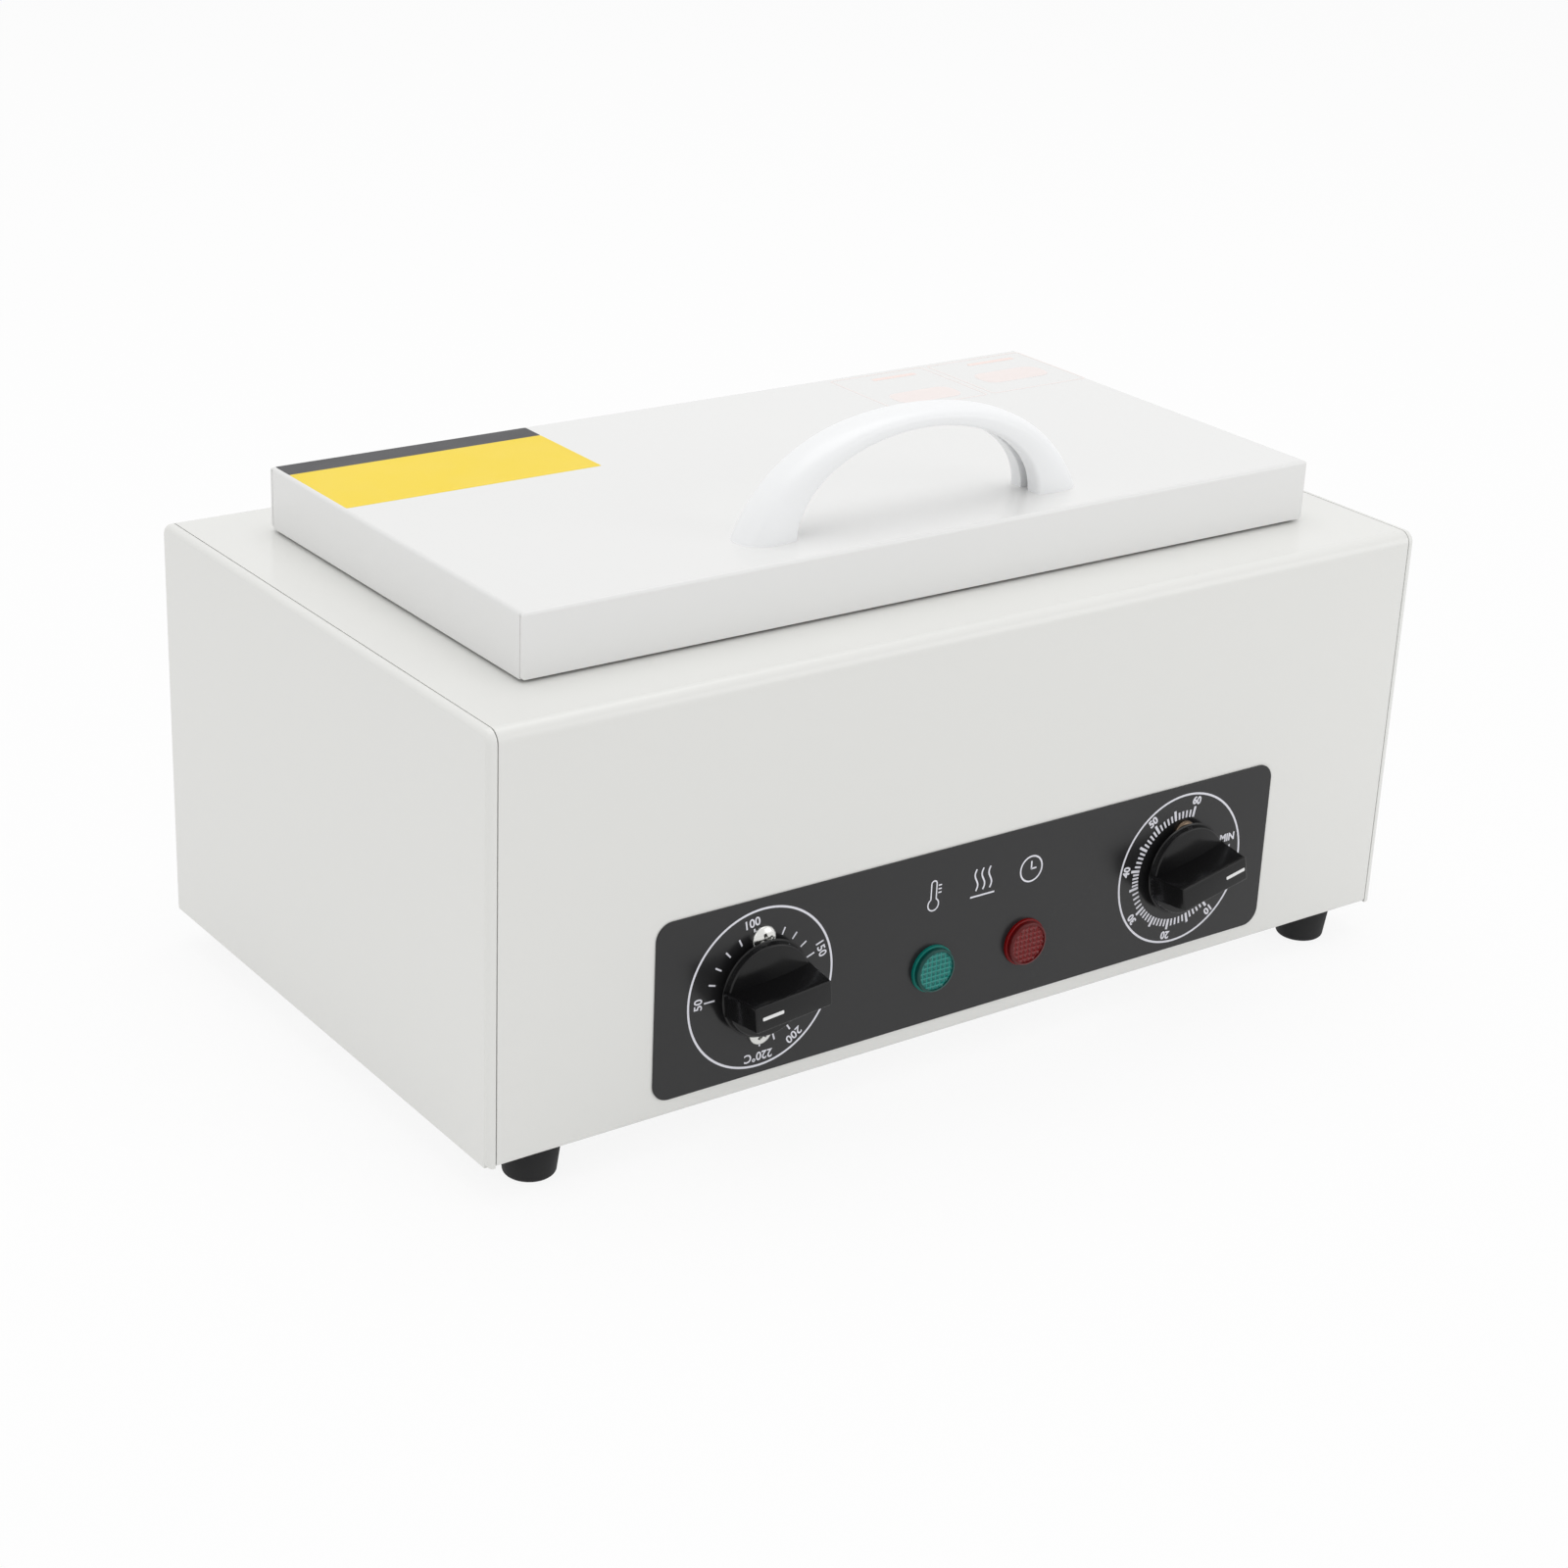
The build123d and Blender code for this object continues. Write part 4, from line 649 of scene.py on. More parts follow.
class Finish(Enum):
    """Every finish in the scene."""

    BODY = paint("cabinet_powder_coat", 233, 233, 230, roughness=0.21, grain=0.03, mottle=0.003, rubbing=0.03)
    LID = paint("lid_powder_coat", 236, 236, 235, roughness=0.22, grain=0.03, mottle=0.003, rubbing=0.03)
    HANDLE = paint("white_moulding", 247, 248, 249, roughness=0.30, grain=0.02, mottle=0.003, rubbing=0.03)
    PANEL = paint("dial_panel_film", 34, 34, 35, roughness=0.22, grain=0.02, mottle=0.03, rubbing=0.04,
                  specular=0.4)
    KNOB = paint("knob_moulding", 14, 14, 15, roughness=0.15, grain=0.015, mottle=0.05, specular=0.3)
    INK = paint("white_ink", 232, 232, 240, roughness=0.5, grain=0.02)
    POINTER = paint("pointer_ink", 238, 238, 238, roughness=0.4, grain=0.02)
    YELLOW = paint("yellow_vinyl", 249, 218, 28, roughness=0.35, grain=0.03, mottle=0.02, specular=0.32)
    CHARCOAL = paint("charcoal_ink", 62, 62, 65, roughness=0.4, grain=0.03, mottle=0.05, specular=0.3)
    PINK = paint("pale_pink_ink", 249, 230, 224, roughness=0.35, grain=0.03)
    BLUSH = paint("faint_pink_ink", 245, 235, 232, roughness=0.35, grain=0.03)
    STEEL = Metal("brushed_stainless", (0.62, 0.62, 0.60), roughness=0.24)
    ZINC = Metal("plated_steel", (0.74, 0.74, 0.72), roughness=0.18, contrast=0.15)
    GALVANISED = Metal("galvanised_sheet", (0.55, 0.56, 0.57), roughness=0.34, contrast=0.3)
    # Painted shade: a darkened copy of the brass, standing in for the shade under the knob's skirt.
    DARK_BRASS = Metal("brass_with_painted_shade", (0.17, 0.125, 0.09), roughness=0.12, contrast=0.3)
    BRASS = Metal("plated_brass", (0.78, 0.60, 0.33), roughness=0.22, contrast=0.2)
    COPPER = Metal("drawn_copper", (0.75, 0.42, 0.28), roughness=0.28)
    SHEATH = Metal("heated_sheath", (0.22, 0.20, 0.19), roughness=0.45, contrast=0.5)
    BRIGHT = Metal("bright_aluminium", (0.85, 0.85, 0.85), roughness=0.16, contrast=0.1)
    RUBBER = paint("black_rubber", 30, 30, 31, roughness=0.62, grain=0.3, mottle=0.1, specular=0.3)
    SILICONE = Skin("red_silicone", (0.45, 0.09, 0.06), roughness=0.5, grain=0.1, mottle=0.1)
    BLACK = paint("black_moulding", 36, 36, 37, roughness=0.42, grain=0.15, mottle=0.06)
    CREAM = paint("cream_moulding", 222, 214, 190, roughness=0.45, mottle=0.05)
    # The fibre finishes carry painted shade in their bump's hollows.
    CERAMIC = Fibre("steatite", (0.78, 0.74, 0.66), roughness=0.6, contrast=0.08, grain=0.1)
    WOOL = Fibre("mineral_wool", (0.70, 0.66, 0.50), grain=0.9)
    # Green lamp: the facets' lighter line is a painted highlight in the grooves, and the ring is a lighter, lit copy
    # of the lens tint: painted light through the plastic.
    GREEN = Lens("green_facets", from_screen(14, 104, 98), line=from_screen(44, 148, 138), centre_x=-AT.lamp_x * MM)
    GREEN_RIM = clear_rim("green_rim", 12, 72, 67, roughness=0.08, specular=0.25)
    GREEN_RING = clear_rim("green_ring", 0, 112, 102, roughness=0.10, specular=0.2)
    # Red lamp: the facets' lighter line is a painted highlight in the grooves, and the ring is a lighter, lit copy of
    # the lens tint: painted light through the plastic.
    RED = Lens("red_facets", from_screen(100, 8, 10), line=from_screen(126, 30, 32), centre_x=AT.lamp_x * MM)
    RED_RIM = clear_rim("red_rim", 92, 14, 16, roughness=0.08, specular=0.25)
    RED_RING = clear_rim("red_ring", 116, 0, 2, roughness=0.10, specular=0.2)
    GLASS = Skin("clear_glass", (0.95, 0.97, 0.97), roughness=0.03, grain=0.0, mottle=0.0, rubbing=0.01,
                 transmission=0.95, ior=1.49)


def finish(obj: Object, *finishes: Finish) -> Object:
    """Give an object its materials.

    Args:
        obj: The object.
        *finishes: Its finishes in slot order.

    Returns:
        The same object.
    """
    obj.data.materials.clear()
    for one in finishes:
        obj.data.materials.append(one.value.build())
    return obj


def settle(obj: Object, body: Body, slot: str, *replaces: str) -> None:
    """Ride a piece on its body and hide the nodes it stands for.

    Args:
        obj: The finished piece.
        body: The body it moves with.
        slot: The record's material slot; not used.
        *replaces: CAD nodes that it stands for.
    """
    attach(obj, body.value)
    if replaces:
        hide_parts(*replaces)
    LOG.info("made %s on %s, %d faces", obj.name, body.value, len(obj.data.polygons))


@dataclass
class PanelPiece:
    """A piece that sits on the dial panel.

    Attributes:
        name: The piece's name.
        nodes: The CAD nodes that it stands for.
        slot: Its record slot.
        x: Its middle.
    """

    name: str
    nodes: tuple[str, ...]
    slot: str
    x: float

    def fix(self, parts: Sequence[Object], z: float, body: Body = Body.CABINET, turn_deg: float = 0.0) -> None:
        """Join its parts, set them on the panel and settle them.

        Args:
            parts: The finished parts, drawn about the origin.
            z: The height of its middle.
            body: The body it moves with.
            turn_deg: How far it is turned, anticlockwise.
        """
        obj = Surface.join(self.name, parts)
        Surface.place(obj, AT.on_panel(self.x, z) @ Matrix.Rotation(math.radians(turn_deg), 4, "Z"))
        settle(obj, body, self.slot, *self.nodes)


# ------------------------------------------------------------------ CAD nodes that keep their shape

SLOT_FINISH: dict[str, Finish] = {
    "white_paint": Finish.BODY, "lid_paint": Finish.LID, "stainless": Finish.STEEL,
    "bright_steel": Finish.ZINC, "brass_screw": Finish.BRASS, "galvanised": Finish.GALVANISED,
    "element_sheath": Finish.SHEATH, "reflector": Finish.BRIGHT, "copper": Finish.COPPER,
    "wool": Finish.WOOL, "ceramic": Finish.CERAMIC, "silicone": Finish.SILICONE,
    "foot_rubber": Finish.RUBBER, "handle_plastic": Finish.HANDLE, "knob_plastic": Finish.KNOB,
    "panel_film": Finish.PANEL, "black_plastic": Finish.BLACK, "cream_plastic": Finish.CREAM,
    "green_lens": Finish.GREEN, "red_lens": Finish.RED, "fuse_glass": Finish.GLASS,
}


def dress_nodes() -> None:
    """Give every CAD node the finish of its record slot."""
    slots = {row["node"]: row["material_slot"] for row in frame["record"]["subparts"]}
    for node, obj in frame["nodes"].items():
        finish(obj, SLOT_FINISH[slots[node]])
    LOG.info("finished %d CAD nodes", len(frame["nodes"]))


# ------------------------------------------------------------------ lid handle


@dataclass
class BowHandle:
    """The moulded bow handle: oval in section, with a narrow slot along its finger side.

    Attributes:
        half_length: From its middle to the tip of a foot.
        height: Above the lid.
        shoulder: The crown curve's level reach at the middle.
        foot_pull: The crown curve's pull at a foot: inward, and up.
        crowding: The exponent that crowds the stations towards the middle.
        finger: Half axes of the inner ellipse.
        foot_half: Half width at the feet.
        waist_half: Half width at the middle.
        flare: The exponent by which the feet widen.
        widest: Where the section is widest, as a share of its thickness.
        face: Half width of the finger side, as a share of the half width.
        blunt: The exponent of the oval crown.
        slot: Half width of the slot.
        slot_round: The rounding of the slot's roof, as a share of its half width.
        wall: What is left above the slot.
        lip: The rounding of the slot's mouth.
        corner: The rounding between the finger side and the flanks.
        stations: How many sections there are along the bow.
    """

    half_length: float = 56.5
    height: float = 29.4
    shoulder: float = 31.9
    foot_pull: Pair = (8.3, 17.0)
    crowding: float = 1.25
    finger: Pair = (40.6, 24.4)
    foot_half: float = 7.1
    waist_half: float = 6.3
    flare: float = 1.6
    widest: float = 0.45
    face: float = 0.86
    blunt: float = 2.4
    slot: float = 1.5
    slot_round: float = 0.45
    wall: float = 2.2
    lip: float = 0.35
    corner: float = 1.3
    stations: int = 161

    def section(self, half: Array, thick: Array) -> tuple[Array, Array]:
        """The closed section at every station: offset across, and height from the finger side.

        The crown is a superellipse, |q / half| ** blunt + |rise / reach| ** blunt = 1. Below its
        widest line an ellipse closes in to the finger side.

        Args:
            half: Half width at each station.
            thick: Thickness at each station.

        Returns:
            Offsets and heights, each stations by points.
        """
        half, thick = half[:, None], thick[:, None]
        one = np.ones_like(half)
        belt = self.widest * thick
        depth = belt / math.sqrt(1 - self.face ** 2)
        corner = np.minimum(self.corner, 0.6 * belt)

        def flank(height: Array) -> Array:
            """Half width of the flank at a height below the widest line."""
            return half * np.sqrt(1 - ((belt - height) / depth) ** 2)

        bend = np.linspace(0, QUARTER, 6)
        quarter, rest = np.sin(bend), 1 - np.cos(bend)
        roof = thick - np.minimum(self.wall, 0.5 * thick)
        rounding = self.slot_round * self.slot
        slot_q = [share * self.slot * one for share in (
            0, 1 - self.slot_round, 1 - self.slot_round + self.slot_round * quarter[3], 1)]
        slot_p = [roof, roof, roof - rounding * rest[3], roof - rounding]
        mouth_q = (self.slot + self.lip * rest) * one
        mouth_p = self.lip * (1 - quarter) * one
        edge = self.face * half - corner
        turn_q = edge + (flank(corner) - edge) * quarter
        turn_p = corner * rest
        low = corner + (belt - corner) * np.linspace(0, 1, 7)[1:]
        sweep = np.linspace(0, QUARTER, 20)[1:]
        crown_q = half * np.maximum(np.cos(sweep), 0) ** (2 / self.blunt)
        crown_p = belt + (thick - belt) * np.sin(sweep) ** (2 / self.blunt)
        q = np.hstack([*slot_q, mouth_q, turn_q, flank(low), crown_q])
        p = np.hstack([*slot_p, mouth_p, turn_p, low, crown_p])
        return np.hstack([q, -q[:, -2:0:-1]]), np.hstack([p, p[:, -2:0:-1]])

    def crown_line(self, share: Array) -> Array:
        """The crown's curve as a cubic from the middle to a foot, mirrored for the other.

        Args:
            share: From -1 at one foot to 1 at the other.

        Returns:
            Points as rows of length along the bow and height.
        """
        t = np.abs(share)[:, None] ** self.crowding
        pull = np.array([self.half_length - self.foot_pull[0], self.foot_pull[1]])
        top = np.array([0.0, self.height])
        line = (1 - t) ** 3 * top + 3 * (1 - t) ** 2 * t * (top + [self.shoulder, 0.0])
        line = line + 3 * (1 - t) * t ** 2 * pull + t ** 3 * [self.half_length, 0.0]
        return line * np.stack([np.sign(share), np.ones_like(share)], axis=1)

    def build(self) -> None:
        """Sweep the section between the finger ellipse and the crown's curve."""
        share = np.linspace(-1, 1, self.stations)
        inner = circle(share * QUARTER)[:, ::-1] * self.finger
        across = self.crown_line(share) - inner
        thick = np.linalg.norm(across, axis=1)
        along = across / thick[:, None]
        half = self.waist_half + (self.foot_half - self.waist_half) * np.abs(share) ** self.flare
        q, p = self.section(half, thick)
        flat = inner[:, None, :] + p[:, :, None] * along[:, None, :]
        points = np.stack([flat[:, :, 0] + AT.handle_x, q + AT.handle_y, flat[:, :, 1] + AT.lid_top_z], axis=2)
        obj = finish(Surface.loft("bow_handle", points, 50.0), Finish.HANDLE)
        settle(obj, Body.LID, "handle_plastic", "lid_handle")


# ------------------------------------------------------------------ knobs


@dataclass
class DialKnob(PanelPiece):
    """A dial knob: a domed skirt, a tall grip bar and an inlaid pointer line.

    Attributes:
        body: The body it turns with.
        angle_deg: The pointer's angle, anticlockwise from the right.
        rim: Radius of the fine rim at the skirt's foot.
        edge: Radius of the skirt's wall.
        back: How far the knob stands off the panel.
        rim_width: Height of the rim.
        edge_reach: Where the skirt's wall ends.
        shoulder: The rounding from the wall to the dome.
        dome: Rise of the dome.
        grip_half: Half length and half width of the grip at its foot.
        face_half: The same at its face.
        reach: Where the grip's face is.
        corner: The rounding of the grip's upright edges.
        edge_radius: The rounding of the face's edges.
        least_corner: The smallest corner of the face.
        pointer: Where the pointer line starts and ends, from the shaft.
        pointer_width: How wide it is.
        proud: How far it stands out of the face.
    """

    body: Body
    angle_deg: float
    rim: float = 13.9
    edge: float = 13.1
    back: float = 2.3
    rim_width: float = 0.3
    edge_reach: float = 4.35
    shoulder: float = 0.5
    dome: float = 0.9
    grip_half: Pair = (13.4, 3.9)
    face_half: Pair = (11.9, 3.6)
    reach: float = 15.05
    corner: float = 0.45
    edge_radius: float = 0.35
    least_corner: float = 0.12
    pointer: Pair = (3.3, 9.9)
    pointer_width: float = 1.0
    proud: float = 0.04

    def skirt(self) -> Object:
        """Turn the skirt: a fine rim, a wall, a quarter-round shoulder and a parabola for its dome.

        Returns:
            The skirt, about its own axis.
        """
        inner = self.edge - self.shoulder
        shoulder = [inner, self.edge_reach - self.shoulder] + self.shoulder * circle(np.linspace(0, QUARTER, 8))
        radius = np.linspace(inner, 0, 16)[1:]
        top = np.column_stack([radius, self.edge_reach + self.dome * (1 - (radius / inner) ** 2)])
        wall = self.rim - (self.rim - self.edge) * 0.6
        rim = [(0.0, self.back), (self.rim - 0.2, self.back), (self.rim, self.back + self.rim_width / 2),
               (wall, self.back + self.rim_width), (wall - 0.05, self.back + 2 * self.rim_width)]
        return Surface.lathe("skirt", np.vstack([rim, shoulder, top]), 144, 40.0)

    def grip(self) -> Object:
        """Raise the bar: a rounded rectangle that shrinks evenly, then rounds over to its face.

        Returns:
            The bar, pointing to the right.
        """
        foot, face = np.array(self.grip_half), np.array(self.face_half)
        rings = [at_height(rounded_outline(*(foot + (face - foot) * share), self.corner),
                           self.back + (self.reach - self.edge_radius - self.back) * share)
                 for share in np.linspace(0, 1, 8)]
        for across, rise in self.edge_radius * (1 - circle(np.linspace(0, QUARTER, 5)[1:])):
            corner = max(self.corner - across, self.least_corner)
            rings.append(at_height(rounded_outline(*(face - across), corner), self.reach - rise))
        return Surface.loft("grip", np.stack(rings), 30.0)

    def line(self) -> Object:
        """Make the pointer line, a thin rounded strip proud of the face.

        Returns:
            The line, pointing to the right.
        """
        near, far = self.pointer
        outline = rounded_outline((far - near) / 2, self.pointer_width / 2, self.pointer_width * 0.3)
        rings = slab(outline + [(near + far) / 2, 0], self.reach - 0.3, self.reach + self.proud)
        return Surface.loft("line", rings)

    def build(self) -> None:
        """Join the knob's forms on its shaft."""
        parts = [finish(self.skirt(), Finish.KNOB), finish(self.grip(), Finish.KNOB),
                 finish(self.line(), Finish.POINTER)]
        self.fix(parts, AT.shaft_z, self.body, self.angle_deg)


# ------------------------------------------------------------------ printed dials


@dataclass
class Strokes:
    """Flat printed strokes and figures, gathered into one thin mesh.

    Attributes:
        depth: How thick the ink is.
        points: The corners so far.
        faces: The faces so far.
    """

    depth: float = 0.02
    points: list[Array] = field(default_factory=list)
    faces: list[list[int]] = field(default_factory=list)

    def add(self, outline: Array, hole: Array | None = None) -> None:
        """Add a filled outline, or the band between two outlines of equal length.

        Args:
            outline: Points of the outer outline.
            hole: Points of the inner outline, if it is a band.
        """
        size = len(outline)
        start = sum(map(len, self.points))
        for loop in (outline,) if hole is None else (outline, hole):
            self.points += [at_height(loop, 0.0), at_height(loop, self.depth)]
        ring = start + np.arange(size)
        after = np.roll(ring, -1)
        bands = [(0, size)] if hole is None else [(0, size), (2 * size, 3 * size), (size, 3 * size), (0, 2 * size)]
        for a, b in bands:
            self.faces += np.stack([a + ring, a + after, b + after, b + ring], axis=1).tolist()
        if hole is None:
            self.faces += [ring.tolist(), (ring + size).tolist()]

    def bar(self, start: Pair | Array, end: Pair | Array, width: float) -> None:
        """Add a straight stroke between two points.

        Args:
            start: Where it starts.
            end: Where it ends.
            width: How wide it is.
        """
        self.path(np.array([start, end], float), width)

    def ring(self, radius: float, width: float, around: int = 160) -> None:
        """Add a circle of a line width."""
        self.add(full_circle(around) * (radius + width / 2), full_circle(around) * (radius - width / 2))

    def path(self, points: Array, width: float, closed: bool = False) -> None:
        """Add a line of a width along points: each point moved half the width to either side.

        Args:
            points: The line's points, as rows of two numbers.
            width: How wide it is.
            closed: Whether its end joins its start.
        """
        ahead = np.roll(points, -1, axis=0) - np.roll(points, 1, axis=0)
        if not closed:
            ahead[0], ahead[-1] = points[1] - points[0], points[-1] - points[-2]
        ahead = ahead / np.linalg.norm(ahead, axis=1)[:, None]
        side = np.stack([-ahead[:, 1], ahead[:, 0]], axis=1) * width / 2
        if closed:
            self.add(points + side, points - side)
        else:
            self.add(np.vstack([points + side, (points - side)[::-1]]))

    def build(self, ink: Finish) -> Object:
        """Make the mesh and give it its ink."""
        return finish(Surface.from_faces("strokes", np.vstack(self.points), self.faces), ink)


@dataclass
class DialPrint(PanelPiece):
    """The white print round one dial.

    Attributes:
        ticks: Angle, inner and outer radius and width of each stroke.
        figures: Text, angle, radius and own turn of each figure.
        size: Figure height.
        bold: Figure thickening.
        arrow: Radius, angle and size of the start mark, if the dial has one.
        ring: Radius of the ring.
        ring_width: Its line width.
    """

    ticks: Sequence[tuple[float, float, float, float]]
    figures: Sequence[tuple[str, float, float, float]]
    size: float
    bold: float
    arrow: Triple | None = None
    ring: float = 22.8
    ring_width: float = 0.62

    def figure(self, text: str, angle_deg: float, radius: float, turn_deg: float) -> Object:
        """Make a word of figures standing at a radius on the dial.

        Args:
            text: The figures.
            angle_deg: Where it stands, anticlockwise from the right.
            radius: How far its middle is from the dial's centre.
            turn_deg: Its own turn in the plane.

        Returns:
            The flat mesh in the dial's own plane.
        """
        curve = bpy.data.curves.new("figure", "FONT")
        curve.body = text
        curve.align_x = curve.align_y = "CENTER"
        curve.size = self.size * MM
        curve.offset = self.bold * MM
        curve.extrude = 0.01 * MM
        curve.resolution_u = 4
        holder = link("figure", curve)
        bpy.context.view_layer.update()
        mesh = bpy.data.meshes.new_from_object(holder.evaluated_get(bpy.context.evaluated_depsgraph_get()))
        bpy.data.objects.remove(holder)
        spot = Matrix.Translation((*polar(radius, angle_deg), 0.01))
        obj = Surface.place(link("figure", mesh), spot @ Matrix.Rotation(math.radians(turn_deg), 4, "Z"))
        return finish(obj, Finish.INK)

    def build(self) -> None:
        """Print the ring, the ticks and the figures on the panel."""
        strokes = Strokes()
        strokes.ring(self.ring, self.ring_width)
        for angle, inner, outer, width in self.ticks:
            strokes.bar(polar(inner, angle), polar(outer, angle), width)
        if self.arrow:
            radius, angle, size = self.arrow
            strokes.add(polar(radius, angle) + size * np.array([[-0.6, 0.0], [0.5, -0.55], [0.5, 0.55]]))
        self.fix([strokes.build(Finish.INK), *(self.figure(*figure) for figure in self.figures)], AT.dial_z)

    @classmethod
    def temperature(cls) -> DialPrint:
        """Lay out the temperature scale from 50 to 220 degrees.

        Returns:
            The scale, still to be built.
        """
        angles = (180, 163.5, 147.5, 131.5, 115.5, 99, 82, 66, 51, 35.5, 19.5, 4, -11, -26, -41, -56, -73, -89)
        ticks = [(angle, 14.6, 17.9, 0.48) if ten % 5 == 0 else (angle, 15.1, 17.3, 0.48)
                 for ten, angle in enumerate(angles, 5)]
        figures = [("50", 180, 19.6, 90), ("100", 100.5, 19.6, 9.5), ("150", 19.5, 20.1, -71),
                   ("200", -56, 20.2, -146), ("220°C", -90, 20.0, 180)]
        return cls("temperature_scale", (), "white_paint", -AT.dial_x, ticks, figures, size=3.5, bold=0.06)

    @classmethod
    def timer(cls) -> DialPrint:
        """Lay out the minute scale from 10 to 60, evenly between the five-minute strokes.

        Returns:
            The scale, still to be built.
        """
        fives = dict(zip(range(10, 61, 5), (309, 285.3, 261, 238.5, 216, 189, 170.5, 148, 125, 101.5, 78)))
        minutes = np.arange(10, 61)
        angles = np.interp(minutes, list(fives), list(fives.values()))
        ticks = [(angle, 15.7, 18.9, 0.8) if minute % 5 == 0 else (angle, 15.7, 17.9, 0.6)
                 for minute, angle in zip(minutes, angles)]
        figures = [(str(ten), fives[ten], 20.6, fives[ten] - 90) for ten in range(10, 61, 10)]
        figures.append(("MIN", 17.5, 18.6, 0.0))
        return cls("timer_scale", (), "white_paint", AT.dial_x, ticks, figures, size=3.2, bold=0.12,
                   arrow=(18.7, 8.0, 1.3))


@dataclass
class PanelMarks(PanelPiece):
    """Plain line symbols in the title's place: a thermometer, rising heat and a clock face.

    Attributes:
        z: The height of their centres.
        spacing: How far apart they stand.
        size: Their height.
        line: The width of their lines.
        thin: The width of the thermometer's lines.
        tick: The length of the thermometer's marks.
        wave_spacing: How far apart the heat's waves stand.
        sway: How far each wave swings.
        plate_half: Half the length of the plate under them.
    """

    z: float = 53.6
    spacing: float = 17.0
    size: float = 9.0
    line: float = 0.5
    thin: float = 0.4
    tick: float = 1.1
    wave_spacing: float = 2.4
    sway: float = 0.55
    plate_half: float = 4.2

    def thermometer(self, strokes: Strokes) -> None:
        """Draw a round bulb under a tube with three marks.

        Args:
            strokes: Where to draw it.
        """
        bulb, tube = self.size * 0.2, self.size * 0.1
        reach = math.asin(tube / bulb)
        base = bulb * circle(np.linspace(QUARTER + reach, QUARTER - reach + TURN, 40)) - [0, self.size * 0.3]
        cap = tube * circle(np.linspace(0, math.pi, 14)) + [0, self.size * 0.38]
        strokes.path(np.vstack([base, cap]) - [self.spacing, 0], self.thin, closed=True)
        x = -self.spacing + tube + 0.6
        for level in (0.06, 0.18, 0.30):
            strokes.bar((x, level * self.size), (x + self.tick, level * self.size), self.thin)

    def heat(self, strokes: Strokes) -> None:
        """Draw three rising sine waves over a plate.

        Args:
            strokes: Where to draw them.
        """
        along = np.linspace(0, 1, 40)
        for x in (-self.wave_spacing, 0.0, self.wave_spacing):
            wave = np.stack([x + self.sway * np.sin(along * TURN), (along * 0.72 - 0.24) * self.size], axis=1)
            strokes.path(wave, self.line)
        low = -0.42 * self.size
        strokes.bar((-self.plate_half, low), (self.plate_half, low), self.line)

    def clock(self, strokes: Strokes) -> None:
        """Draw a clock face with two hands.

        Args:
            strokes: Where to draw it.
        """
        strokes.path(full_circle(64) * self.size * 0.42 + [self.spacing, 0], self.line, closed=True)
        strokes.bar((self.spacing, -0.1), (self.spacing, self.size * 0.26), self.line)
        strokes.bar((self.spacing - 0.1, 0), (self.spacing + self.size * 0.2, 0), self.line)

    def build(self) -> None:
        """Print the symbols on the panel."""
        strokes = Strokes()
        for draw in (self.thermometer, self.heat, self.clock):
            draw(strokes)
        self.fix([strokes.build(Finish.INK)], self.z)


# ------------------------------------------------------------------ lamps, screws and feet


@dataclass
class SignalLamp(PanelPiece):
    """A stepped round lens: a base ring, a clear wall and a face of small square pyramids.

    Attributes:
        tints: The finishes of the base ring, a lighter copy of the lens tint that paints light passing through the
            plastic, of the wall with the plain rim and of the pyramids, whose grooves carry a painted highlight.
        base: Radius of the base ring.
        base_thickness: How far the base ring stands out.
        lens: Radius of the lens.
        reach: How far the lens stands out.
        border: Width of the plain rim round the pyramids.
        pitch: The side of a pyramid.
        depth: Its rise.
        sunk: How far the pyramids' tops lie below the rim.
        seat: How far the wall reaches down behind the pyramids.
        around: Points round the axis.
        steps: Points from the rim to the middle of the face.
    """

    tints: tuple[Finish, Finish, Finish]
    base: float = 6.9
    base_thickness: float = 0.9
    lens: float = 6.4
    reach: float = 2.45
    border: float = 0.8
    pitch: float = 1.5
    depth: float = 0.4
    sunk: float = 0.12
    seat: float = 0.6
    around: int = 192
    steps: int = 60

    def ring(self) -> Object:
        """Turn the base ring, its outer edge rounded in two steps.

        Returns:
            The ring, in its lighter tint: painted light through the plastic.
        """
        base, top = self.base, self.base_thickness
        profile = [(POLE, 0.0), (base, 0.0), (base, top - 0.3), (base - 0.1, top - 0.1), (base - 0.3, top),
                   (self.lens - 0.4, top), (POLE, top)]
        return finish(Surface.lathe("ring", profile, self.around), self.tints[0])

    def wall(self) -> Object:
        """Turn the lens's wall, its rounded shoulder and the plain rim, down to the pyramids' seat.

        Returns:
            The wall, in its tint.
        """
        lens, foot, top, inner = self.lens, self.base_thickness, self.reach, self.lens - self.border
        profile = [(POLE, 0.3), (lens - 0.1, foot - 0.1), (lens, foot + 0.1), (lens, top - 0.55),
                   (lens - 0.12, top - 0.25), (lens - 0.3, top - 0.08), (lens - 0.55, top), (inner, top),
                   (inner - 0.05, top - self.seat), (POLE, top - self.seat)]
        return finish(Surface.lathe("wall", profile, self.around), self.tints[1])

    def face(self) -> Object:
        """Raise the pyramids: a point's depth is its greater distance from its cell's middle.

        Returns:
            The face, in its tint.
        """
        radius = np.linspace(self.lens - self.border - 0.02, POLE, self.steps)[:, None, None]
        flat = radius * full_circle(self.around)
        from_middle = np.abs((flat / self.pitch) % 1.0 - 0.5) * 2
        heights = self.reach - self.sunk - self.depth * from_middle.max(axis=2, keepdims=True)
        surface = np.concatenate([flat, heights], axis=2)
        foot = surface[:1].copy()
        foot[:, :, 2] = self.reach - self.seat - 0.2
        return finish(Surface.loft("face", np.vstack([foot, surface]), 15.0), self.tints[2])

    def build(self) -> None:
        """Join the ring, the wall and the face on the panel."""
        self.fix([self.ring(), self.wall(), self.face()], AT.lamp_z)


